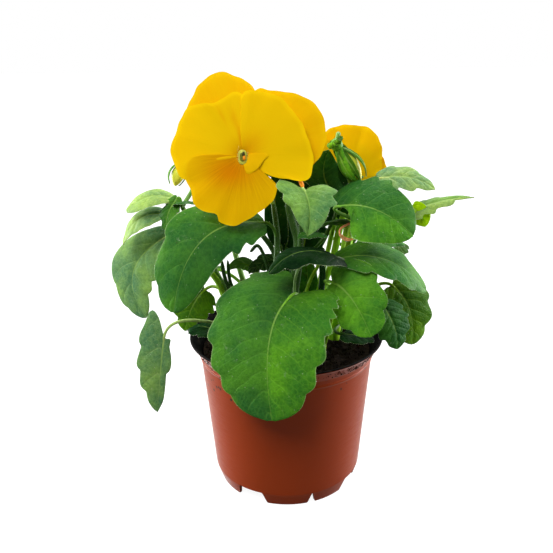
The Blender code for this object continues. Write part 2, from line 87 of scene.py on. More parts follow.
class Wiring:
    """Places and joins the nodes of a material, a world or a node group. Wherever a value is asked
    for, another node's output may be given instead."""

    def __init__(self, tree):
        self.nodes, self.links = tree.nodes, tree.links

    def feed(self, socket, source):
        """Joins a socket to another node's output, or gives it a value of its own."""
        if isinstance(source, bpy.types.NodeSocket):
            self.links.new(source, socket)
        else:
            socket.default_value = source

    def place(self, kind, values=None, **settings):
        """A new node with its settings, and its sockets' values by name or number."""
        node = self.nodes.new(kind if kind.startswith("Node") else "ShaderNode" + kind)
        for key, value in settings.items():
            setattr(node, key, value)
        for key, value in (values or {}).items():
            self.feed(node.inputs[key], value)
        return node

    def where(self):
        """The place on the piece."""
        return self.place("TexCoord").outputs["Object"]

    def split(self, vector):
        """The three parts of a vector."""
        return self.place("SeparateXYZ", {0: vector}).outputs

    def attribute(self, name):
        """A value that the piece's points carry, as a vector."""
        return self.place("Attribute", attribute_name=name).outputs["Vector"]

    def stretched(self, vector, scale):
        """A vector with each part scaled, so that a pattern on it is drawn out or squeezed."""
        return self.place("Mapping", {"Vector": vector, "Scale": scale}).outputs["Vector"]

    def noise(self, vector, scale, detail=3.0, rough=0.5):
        """Soft noise, from 0 to 1."""
        values = {"Vector": vector, "Scale": scale, "Detail": detail, "Roughness": rough}
        return self.place("TexNoise", values).outputs["Fac"]

    def maths(self, operation, *sources, clamp=False):
        """One step of arithmetic."""
        return self.place("Math", dict(enumerate(sources)), operation=operation, use_clamp=clamp).outputs[0]

    def ramp(self, source, low, high, start=0.0, end=1.0, form="LINEAR"):
        """A value taken from the span low..high to the span start..end, and held at its ends."""
        values = {"Value": source, "From Min": low, "From Max": high, "To Min": start, "To Max": end}
        return self.place("MapRange", values, interpolation_type=form).outputs["Result"]

    def ease(self, source, low, high, start=0.0, end=1.0):
        """A ramp with soft ends."""
        return self.ramp(source, low, high, start, end, "SMOOTHSTEP")

    def blend(self, factor, first, second, kind="MIX"):
        """Two colours mixed by a factor, or the second laid on the first in another way."""
        values = {"Factor": factor, "A": first, "B": second}
        return self.place("Mix", values, data_type="RGBA", blend_type=kind).outputs["Result"]

    def shaded(self, colour, amount):
        """A colour made lighter or darker by an amount."""
        return self.place("VectorMath", {0: colour, "Scale": amount}, operation="SCALE").outputs[0]

    def bump(self, height, strength, distance):
        """The normal of a surface with small bumps."""
        values = {"Height": height, "Strength": strength, "Distance": distance}
        return self.place("Bump", values).outputs["Normal"]

    def surface(self, values):
        """Gives the Principled shader its values."""
        shader = self.nodes["Principled BSDF"]
        for key, value in values.items():
            self.feed(shader.inputs[key], value)

    def let_light_through(self, colour, share):
        """Mixes a share of translucent tissue of a colour into the surface."""
        through = self.place("BsdfTranslucent", {"Color": colour})
        shader = self.nodes["Principled BSDF"]
        mix = self.place("MixShader", {"Fac": share, 1: shader.outputs[0], 2: through.outputs[0]})
        self.feed(self.nodes["Material Output"].inputs["Surface"], mix.outputs[0])


def new_material(name):
    """A material with a Principled shader, and its wiring."""
    material = bpy.data.materials.new(name)
    material.use_nodes = True
    return material, Wiring(material.node_tree)


def white_room():
    """A world that is white to the camera. It lights the plant from above, from the sides and from
    behind, and hardly from the front."""
    world = bpy.data.worlds.new("white_room")
    scene.world = world
    world.use_nodes = True
    world.node_tree.nodes.clear()
    wiring = Wiring(world.node_tree)
    _, behind, above = wiring.split(wiring.place("TexCoord").outputs["Generated"])
    glow = wiring.maths("MAXIMUM", wiring.ease(behind, -0.4, 0.5), wiring.ease(above, 0.3, 0.95, 0.0, 0.5))
    glow = wiring.maths("MULTIPLY_ADD", glow, ROOM_LIGHT, ROOM_LEAST)
    light = wiring.place("Background", {"Color": WHITE, "Strength": glow})
    seen = wiring.place("Background", {"Color": WHITE, "Strength": 1.0})
    to_camera = wiring.place("LightPath").outputs["Is Camera Ray"]
    mix = wiring.place("MixShader", {0: to_camera, 1: light.outputs[0], 2: seen.outputs[0]})
    wiring.place("OutputWorld", {"Surface": mix.outputs[0]})


def soft_light(name, place, size, power):
    """A square lamp that faces the middle of the plant."""
    lamp = bpy.data.lights.new(name, "AREA")
    lamp.shape = "SQUARE"
    lamp.size = size * MM
    lamp.energy = power
    obj = bpy.data.objects.new(name, lamp)
    scene.collection.objects.link(obj)
    turn = (Vector(LIGHT_AIM) - Vector(place)).to_track_quat("-Z", "Y").to_matrix().to_4x4()
    obj.matrix_world = Matrix.Translation(Vector(place) * MM) @ turn


white_room()
for name, (place, size, power) in LAMPS.items():
    soft_light(name, place, size, power)


def linked_mesh(name, points, blocks, materials=(), smooth_to=50):
    """An object at the origin from points in millimetres and blocks of faces, each block a table of
    point numbers. It is smooth but for edges past smooth_to degrees."""
    faces = [face for block in blocks for face in np.asarray(block).tolist()]
    mesh = bpy.data.meshes.new(name)
    mesh.from_pydata((np.asarray(points) * MM).tolist(), [], faces)
    mesh.shade_smooth()
    mesh.set_sharp_from_angle(angle=math.radians(smooth_to))
    obj = bpy.data.objects.new(name, mesh)
    scene.collection.objects.link(obj)
    for material in materials:
        mesh.materials.append(material)
    return obj


def floor_material():
    """A white floor. The plant is lit by a dimmer one, so that the pot's wall stays deep in tone."""
    material, wiring = new_material("white_floor")
    to_camera = wiring.place("LightPath").outputs["Is Camera Ray"]
    wiring.surface({"Base Color": FLOOR_TONE, "Roughness": 0.9, "Emission Color": WHITE,
                    "Emission Strength": wiring.maths("MULTIPLY", to_camera, FLOOR_GLOW)})
    return material


corners = [(-1, -1), (1, -1), (1, 1), (-1, 1)]
floor = linked_mesh("floor", [(x * FLOOR_HALF, y * FLOOR_HALF, -FLOOR_DROP) for x, y in corners],
                    [[(0, 1, 2, 3)]], [floor_material()])

# ---------------------------------------------------------------- pot
# One thin moulding of satin plastic, red-brown outside and black inside: a flared lip with a rolled
# rim, a fine raised line under it, a tapered wall, and a skirt whose lower edge is cut into feet.
WALL = 1.1
FOOT_R = 38.5
WALL_FOOT_R = 41.0
FOOT_H = 7.5
FLOOR_Z = 8.9
BEAD_R = 46.7
BEAD_Z = 73.0
BEAD = 0.6
LIP_R = 47.6
LIP_Z = 76.5
RIM_R = 52.5
RIM_Z = 84.0
CENTRE_R = 0.02
CORNER_R = 0.35
CORNER_STEPS = 4
BEND_STEPS = 12
POT_STEPS = 480
FOOT_GAPS = [(19.0, 2.2), (60.5, 15.5)]  # turn of the middle in degrees, and width, on each quarter
GAP_SLOPE = 2.6
DRAINS = 8
DRAIN_R = 3.5
DRAIN_RING = 27.0
DRAIN_REACH = 3
POT_DEEP = (0.235, 0.028, 0.002, 1)
POT_LIGHT = (0.275, 0.034, 0.003, 1)
PEAT_SPECK = (0.03, 0.018, 0.012, 1)
INSIDE_BLACK = (0.004, 0.004, 0.004, 1)
INSIDE_DUST = (0.06, 0.045, 0.03, 1)


def wall_inside(z):
    """The wall's inside radius at a height between the feet and the lip."""
    slope = (BEAD_R - WALL_FOOT_R) / (BEAD_Z - FOOT_H)
    return WALL_FOOT_R + slope * (z - FOOT_H) - WALL


def rounded(points):
    """A profile whose corners are small arcs: each inner point becomes a short quadratic curve."""
    points = np.asarray(points, float)
    out = [points[:1]]
    for a, b, c in zip(points, points[1:], points[2:]):
        near = min(CORNER_R, np.linalg.norm(a - b) / 2.2, np.linalg.norm(c - b) / 2.2)
        start = b + (a - b) / np.linalg.norm(a - b) * near
        end = b + (c - b) / np.linalg.norm(c - b) * near
        t = np.linspace(0, 1, CORNER_STEPS)[:, None]
        out.append((1 - t) ** 2 * start + 2 * t * (1 - t) * b + t ** 2 * end)
    return np.concatenate(out + [points[-1:]])


def quads_of(index):
    """Quads between the rows of a table of point numbers."""
    return np.stack([index[:-1, :-1], index[:-1, 1:], index[1:, 1:], index[1:, :-1]], -1).reshape(-1, 4)


def grid_faces(rows, columns, flip=False):
    """Quads between rings of points, each ring closed round its columns."""
    index = np.arange(rows * columns).reshape(rows, columns)
    quads = quads_of(np.concatenate([index, index[:, :1]], 1))
    return quads[:, ::-1] if flip else quads


def skirt_foot(turn):
    """Height of the skirt's lower edge at a turn in degrees from the front: 0 on a foot, and up to
    FOOT_H in a gap, with sloping sides."""
    low = np.zeros_like(turn)
    for middle, width in FOOT_GAPS:
        off = np.abs((turn - middle + 45) % 90 - 45) * math.radians(1) * FOOT_R
        rise = np.clip((width / 2 + GAP_SLOPE / 2 - off) / GAP_SLOPE, 0, 1)
        low = np.maximum(low, FOOT_H * (rise * rise * (3 - 2 * rise)))
    return low


def pot_surface():
    """Points of the pot, turned about Z from a profile of radius and height. Below the wall's foot
    the profile is squeezed up to the skirt's lower edge, which changes with the turn. Also gives
    how many rows of points the outside has."""
    outside = rounded([(FOOT_R, 0), (WALL_FOOT_R, FOOT_H), (BEAD_R - 0.05, BEAD_Z - 1.0),
                       (BEAD_R + BEAD, BEAD_Z), (BEAD_R + 0.15, BEAD_Z + 1.0), (LIP_R, LIP_Z),
                       (RIM_R - 0.9, RIM_Z - 1.6), (RIM_R, RIM_Z - 0.8), (RIM_R - 0.3, RIM_Z)])
    inside = rounded([(RIM_R - 0.3, RIM_Z), (RIM_R - 1.4, RIM_Z - 0.2), (LIP_R - 0.4, LIP_Z + 0.6),
                      (wall_inside(BEAD_Z), BEAD_Z), (wall_inside(FLOOR_Z + 1), FLOOR_Z + 1),
                      (wall_inside(FLOOR_Z) - 1, FLOOR_Z), (CENTRE_R, FLOOR_Z)])
    under = rounded([(CENTRE_R, FLOOR_Z - WALL), (FOOT_R - 1.2, FLOOR_Z - WALL), (FOOT_R - 1.6, 0),
                     (FOOT_R, 0)])
    # more rows at the end of the bend from the skirt into the wall
    end = CORNER_STEPS
    bend = np.linspace(outside[end - 1], outside[end], BEND_STEPS)[1:-1]
    profile = np.concatenate([outside[:end], bend, outside[end:], inside[1:], under[:-1]])
    turn = np.arange(POT_STEPS) * 360 / POT_STEPS
    foot = skirt_foot(turn)[None, :]
    radius, height = profile[:, :1], profile[:, 1:]
    lifted = np.where(height < FOOT_H, foot + height * (FOOT_H - foot) / FOOT_H, height)
    angle = np.radians(turn - 90)[None, :]
    slant = np.where(height < FOOT_H, (lifted - height) * (WALL_FOOT_R - FOOT_R) / FOOT_H, 0)
    points = np.stack([(radius + slant) * np.cos(angle), (radius + slant) * np.sin(angle), lifted], -1)
    return points, len(outside) + len(bend)


def pot_plastic():
    """Satin red-brown plastic with faint flow streaks, fine scratches and grains of peat near the rim."""
    material, wiring = new_material("terracotta_plastic")
    where = wiring.where()
    tone = wiring.blend(wiring.noise(where, 28.0), POT_DEEP, POT_LIGHT)
    # grains of peat that cling to the wall, thick near the rim
    grains = wiring.place("TexVoronoi", {"Vector": where, "Scale": 260.0, "Randomness": 1.0})
    dot = wiring.ramp(grains.outputs["Distance"], 0.16, 0.24, 1.0, 0.0)
    near_rim = wiring.ramp(wiring.split(where)["Z"], 0.045, 0.085, 0.0, 0.27)
    likely = wiring.maths("ADD", wiring.noise(where, 42.0, 4.0, 0.7), near_rim)
    speck = wiring.maths("MULTIPLY", dot, wiring.ramp(likely, 0.66, 0.70))
    # fine scratches, long round the pot
    scratch = wiring.noise(wiring.stretched(where, (1, 1, 6)), 160.0, 5.0, 0.65)
    wiring.surface({"Base Color": wiring.blend(speck, tone, PEAT_SPECK),
                    "Roughness": wiring.ramp(scratch, 0.3, 0.7, 0.30, 0.46), "Specular IOR Level": 0.14,
                    "Sheen Weight": 0.42, "Sheen Roughness": 0.25,
                    "Normal": wiring.bump(scratch, 0.12, 0.0004)})
    return material


def black_plastic():
    """The pot's black inside, dull with a film of peat dust."""
    material, wiring = new_material("black_inside")
    dust = wiring.noise(wiring.where(), 180.0, 6.0, 0.75)
    film = wiring.ramp(dust, 0.52, 0.78, 0.0, 0.55)
    wiring.surface({"Base Color": wiring.blend(film, INSIDE_BLACK, INSIDE_DUST), "Roughness": 0.55,
                    "Specular IOR Level": 0.02, "Normal": wiring.bump(dust, 0.4, 0.0004)})
    return material


def cut(obj, cutters):
    """Takes the cutters out of an object, and uses them up."""
    spare = bpy.data.collections.new("cutters")
    for cutter in cutters:
        scene.collection.objects.unlink(cutter)
        spare.objects.link(cutter)
    step = obj.modifiers.new("cut", "BOOLEAN")
    step.operation = "DIFFERENCE"
    step.operand_type = "COLLECTION"
    step.collection = spare
    step.solver = "MANIFOLD"
    graph = bpy.context.evaluated_depsgraph_get()
    mesh = bpy.data.meshes.new_from_object(obj.evaluated_get(graph))
    obj.modifiers.clear()
    obj.data = mesh
    for cutter in cutters:
        bpy.data.objects.remove(cutter)
    bpy.data.collections.remove(spare)


def upright_bar(name, x, y, low, high, radius, sides=48):
    """A closed upright bar: a ring of points at each end, with a face across each ring."""
    angle = np.arange(sides) * math.tau / sides
    ring = np.stack([x + radius * np.cos(angle), y + radius * np.sin(angle)], -1)
    points = np.concatenate([np.c_[ring, np.full(sides, low)], np.c_[ring, np.full(sides, high)]])
    ends = [[list(range(sides))[::-1]], [list(range(sides, 2 * sides))]]
    return linked_mesh(name, points, [grid_faces(2, sides), *ends])


def make_pot():
    """The pot: its surface closed into one skin, black from the rolled rim inwards, with the drain
    holes cut out."""
    points, outside_rows = pot_surface()
    rows, columns = points.shape[:2]
    closing = grid_faces(2, columns)
    closing = np.where(closing >= columns, closing - columns, closing + (rows - 1) * columns)
    pot = linked_mesh("pot_shell", points.reshape(-1, 3), [grid_faces(rows, columns), closing],
                      [pot_plastic(), black_plastic()], smooth_to=35)
    rim_row = outside_rows - 3
    underside_row = rows - 12
    slots = np.zeros(len(pot.data.polygons), np.int32)
    slots[rim_row * columns:underside_row * columns] = 1
    pot.data.polygons.foreach_set("material_index", slots)
    solid = bmesh.new()
    solid.from_mesh(pot.data)
    bmesh.ops.remove_doubles(solid, verts=solid.verts, dist=0.0001 * MM)
    bmesh.ops.recalc_face_normals(solid, faces=solid.faces)
    solid.to_mesh(pot.data)
    solid.free()
    bars = []
    for number, turn in enumerate(np.arange(DRAINS) * math.tau / DRAINS):
        x, y = DRAIN_RING * math.cos(turn), DRAIN_RING * math.sin(turn)
        low, high = FLOOR_Z - DRAIN_REACH, FLOOR_Z + DRAIN_REACH
        bars.append(upright_bar(f"drain_{number}", x, y, low, high, DRAIN_R))
    cut(pot, bars)
    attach(pot, "root")
    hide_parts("pot")


make_pot()

# ---------------------------------------------------------------- soil
# Dark peat, pressed into the pot and mounded a little, with a crumbly top; its colour is darkened
# further as painted shade. Loose crumbs lie on it and on the pot's rim, and cling to the slope under
# the rim.
GAP = 0.3
SOIL_Z = 75.5
SOIL_MOUND = 2.0
SOIL_ROUGH = 1.0
# Height and pitch of the lumps.
SOIL_LUMPS = [(0.22, 22), (0.22, 13), (0.12, 7), (0.12, 5), (0.1, 3), (0.1, 2.2), (0.1, 1.7)]
SOIL_RINGS = 84
SOIL_STEPS = 360
CRUMBS = 900
RIM_CRUMBS = 420
WALL_CRUMBS = 260
SPILL_SHARE = 0.62
SPILL_TURN = (-0.62, 0.38)  # middle and spread, in radians from +X
CLING_SHARE = 0.75
CLING_RIGHT = (-0.77, 0.22)
CLING_LEFT = (-2.5, 0.12)
# The peat's own near-black, made darker still as painted shade for the deep shade in the pot.
PEAT_DEEP = (0.002, 0.0017, 0.0014, 1)
PEAT_LIGHT = (0.035, 0.022, 0.014, 1)


def soil_top(x, y):
    """Height of the peat: a low mound, and waves of each lump size in three directions added up,
    level where it meets the wall."""
    edge = wall_inside(SOIL_Z) - GAP
    r = np.hypot(x, y)
    rng = np.random.default_rng(4)
    rough = np.zeros_like(x)
    for size, pitch in SOIL_LUMPS:
        for turn, start in rng.uniform(0, math.tau, (3, 2)):
            along = x * math.cos(turn) + y * math.sin(turn)
            rough = rough + size * np.sin(along * math.tau / pitch + start)
    level = np.minimum(1, 4 * (1 - r / edge))
    return SOIL_Z + SOIL_MOUND * (1 - (r / edge) ** 2) + SOIL_ROUGH * rough * level


def peat():
    """Nearly black peat with brown fibres: partly its own dark colour, partly painted shade."""
    material, wiring = new_material("potting_soil")
    lump = wiring.noise(wiring.where(), 420.0, 6.0, 0.7)
    fibre = wiring.place("ValToRGB", {"Fac": lump})
    deep, light = fibre.color_ramp.elements
    deep.position, deep.color = 0.35, PEAT_DEEP
    light.position, light.color = 0.75, PEAT_LIGHT
    wiring.surface({"Base Color": fibre.outputs["Color"], "Roughness": 0.95, "Specular IOR Level": 0.05,
                    "Normal": wiring.bump(lump, 0.8, 0.0006)})
    return material


def fan_faces(first, sides, centre, flip=False):
    """Triangles from a ring of points, numbered from first, to the point at its centre."""
    step = first + np.arange(sides)
    after = first + (np.arange(sides) + 1) % sides
    return np.stack([*((after, step) if flip else (step, after)), np.full(sides, centre)], -1)


def make_peat(material):
    """The body of peat: rings of points out to the wall and down it, closed by a fan at the crown and
    one at the pot's floor."""
    edge = wall_inside(SOIL_Z) - GAP
    ring = edge * np.linspace(0, 1, SOIL_RINGS + 1)[1:, None] ** 0.8
    angle = (np.arange(SOIL_STEPS) * math.tau / SOIL_STEPS)[None, :]
    x, y = ring * np.cos(angle), ring * np.sin(angle)
    foot = FLOOR_Z + GAP
    side = np.array([(wall_inside(foot + 1) - GAP, foot + 1), (wall_inside(foot) - 1 - GAP, foot)])
    r, z = side[:, :1], np.broadcast_to(side[:, 1:], (2, SOIL_STEPS))
    top = np.stack([x, y, soil_top(x, y)], -1)
    grid = np.concatenate([top, np.stack([r * np.cos(angle), r * np.sin(angle), z], -1)])
    points = np.concatenate([grid.reshape(-1, 3), [(0, 0, SOIL_Z + SOIL_MOUND), (0, 0, foot)]])
    crown = len(grid) * SOIL_STEPS
    blocks = [grid_faces(len(grid), SOIL_STEPS, flip=True), fan_faces(0, SOIL_STEPS, crown),
              fan_faces(crown - SOIL_STEPS, SOIL_STEPS, crown + 1, flip=True)]
    soil = linked_mesh("peat", points, blocks, [material], smooth_to=180)
    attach(soil, "root")
    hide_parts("soil")


def crumb_shapes(places, sizes):
    """Crumbs of peat: octahedra pulled out of shape and turned about Z, one at each place."""
    rng = np.random.default_rng(11)
    corners = np.array([(1, 0, 0), (-1, 0, 0), (0, 1, 0), (0, -1, 0), (0, 0, 1), (0, 0, -1)], float)
    sides = np.array([(0, 2, 4), (2, 1, 4), (1, 3, 4), (3, 0, 4),
                      (2, 0, 5), (1, 2, 5), (3, 1, 5), (0, 3, 5)])
    count = len(places)
    shapes = corners[None] * rng.uniform(0.6, 1.3, (count, 6, 1)) + rng.normal(0, 0.15, (count, 6, 3))
    turn = rng.uniform(0, math.tau, count)
    c, s = np.cos(turn)[:, None], np.sin(turn)[:, None]
    x, y, z = np.moveaxis(shapes, -1, 0)
    turned = np.stack([x * c - y * s, x * s + y * c, z * 0.8], -1)
    points = places[:, None] + turned * sizes[:, None, None]
    return points.reshape(-1, 3), (sides[None] + 6 * np.arange(count)[:, None, None]).reshape(-1, 3)


def make_crumbs(material):
    """Loose crumbs at random places on the peat, on the rim and under it, most of those at the right."""
    rng = np.random.default_rng(7)
    r = (wall_inside(SOIL_Z) - GAP) * np.sqrt(rng.uniform(0, 0.95, CRUMBS))
    turn = rng.uniform(0, math.tau, CRUMBS)
    x, y = r * np.cos(turn), r * np.sin(turn)
    lying = np.stack([x, y, soil_top(x, y) + 0.2], -1)
    lying_sizes = rng.gamma(3, 0.22, CRUMBS) + 0.25
    # spilt on the slope of the lip and on the rim
    reach = rng.uniform(0, 1, RIM_CRUMBS) ** 0.6
    turn = np.where(rng.uniform(0, 1, RIM_CRUMBS) < SPILL_SHARE, rng.normal(*SPILL_TURN, RIM_CRUMBS),
                    rng.uniform(0, math.tau, RIM_CRUMBS))
    r = LIP_R + (RIM_R - 0.6 - LIP_R) * reach
    z = LIP_Z + 0.6 + (RIM_Z - LIP_Z - 0.8) * reach
    spilt = np.stack([r * np.cos(turn), r * np.sin(turn), z + 0.1], -1)
    # clinging under the rim
    reach = rng.uniform(0, 1, WALL_CRUMBS) ** 0.5
    right = rng.uniform(0, 1, WALL_CRUMBS) < CLING_SHARE
    turn = np.where(right, rng.normal(*CLING_RIGHT, WALL_CRUMBS), rng.normal(*CLING_LEFT, WALL_CRUMBS))
    r = LIP_R + (RIM_R - 1.3 - LIP_R) * reach
    z = LIP_Z + (RIM_Z - 1.9 - LIP_Z) * reach
    clinging = np.stack([r * np.cos(turn), r * np.sin(turn), z], -1)
    small_sizes = [rng.gamma(2.2, 0.13, count) + 0.18 for count in (RIM_CRUMBS, WALL_CRUMBS)]
    points, faces = crumb_shapes(np.concatenate([lying, spilt, clinging]),
                                 np.concatenate([lying_sizes, *small_sizes]))
    crumbs = linked_mesh("crumbs", points, [faces], [material], smooth_to=20)
    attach(crumbs, "root")


peat_material = peat()
make_peat(peat_material)
make_crumbs(peat_material)

# ---------------------------------------------------------------- leaves and stems
# Nine leafy shoots, each one piece that grows out of the peat: a ribbed green stem, grooved leaf
# stalks, soft scalloped blades with sunk veins and a pale rim, and short white hairs.
STEM_FOOT_Z = 58
STEM_R = 1.8
STEM_TOP_R = 1.3
ROUND_END = np.array([0.97, 0.88, 0.68, 0.28])  # share of its radius a stem keeps towards its free end
PETIOLE_R = 1.0
PETIOLE_TOP_R = 0.8
STALK_STEPS = 15
STALK_LIFT = (1.9, 1.35, 1.2)
STALK_WARM = (0.02, 0.03, 0.0)
BLADE = 0.5
NOTCH = 3.0
SKEW = 2.4
VEIN_SINK = 0.14
RIB_SINK = 0.4
GROOVE = 0.9
PUFF = 0.16
LEAF_ROWS = 72
LEAF_COLUMNS = 33
TUBE_SIDES = 14
HAIR_R = 0.035
HAIR_SLOT = 2
STEM_HAIRS = 500
EXTRA_HAIRS = 200
STEM_HAIR = 0.45
MARGIN_HAIRS = 160
MARGIN_HAIR = 0.4
DARK = (0.026, 0.115, 0.017)
GREEN = (0.048, 0.178, 0.022)
# Painted light: a lighter green for the lit half of a leaf.
SUNNY = (0.072, 0.250, 0.018)
BRIGHT = (0.085, 0.285, 0.022)
# Painted sheen: this green and the next two are leaf greens paled and greyed for leaves that catch the white
# room's sheen at a glancing angle.
PALE = (0.125, 0.275, 0.070)
BRIGHT_SHEEN_GREEN = (0.200, 0.345, 0.110)
SHEEN_GREEN = (0.140, 0.280, 0.090)
# Painted light: a vivid yellow-green for a small lobe glowing with light shining through it, kept bright
# under the shade of the leaf above.
BACKLIT_LEMON = (0.300, 0.560, 0.006)
OLIVE = (0.075, 0.200, 0.010)
# Painted shade: this green and the next are darkened nearly to black for leaves and stems deep in the
# plant's shade.
SHADE = (0.010, 0.052, 0.009)
DEEP_SHADE = (0.003, 0.022, 0.003)
DRIED = (0.60, 0.30, 0.16)
# Painted shade: blades are darkened towards their base, where the leaves shade each other, by DIM; the
# greens with painted sheen or glow listed here get only PALE_DIM of it.
PALE_TINTS = (PALE, BRIGHT_SHEEN_GREEN, SHEEN_GREEN, BACKLIT_LEMON)
DIM = 0.42  # how much darker a blade is at its base
PALE_DIM = 0.1
STALK = (0.13, 0.27, 0.05)
BRIGHT_STALK = (0.25, 0.50, 0.02)
PALE_STALK = (0.20, 0.36, 0.10)
# Painted shade: a stalk green darkened for stems deep in the plant's shade.
SHADED_STALK = (0.035, 0.095, 0.016)
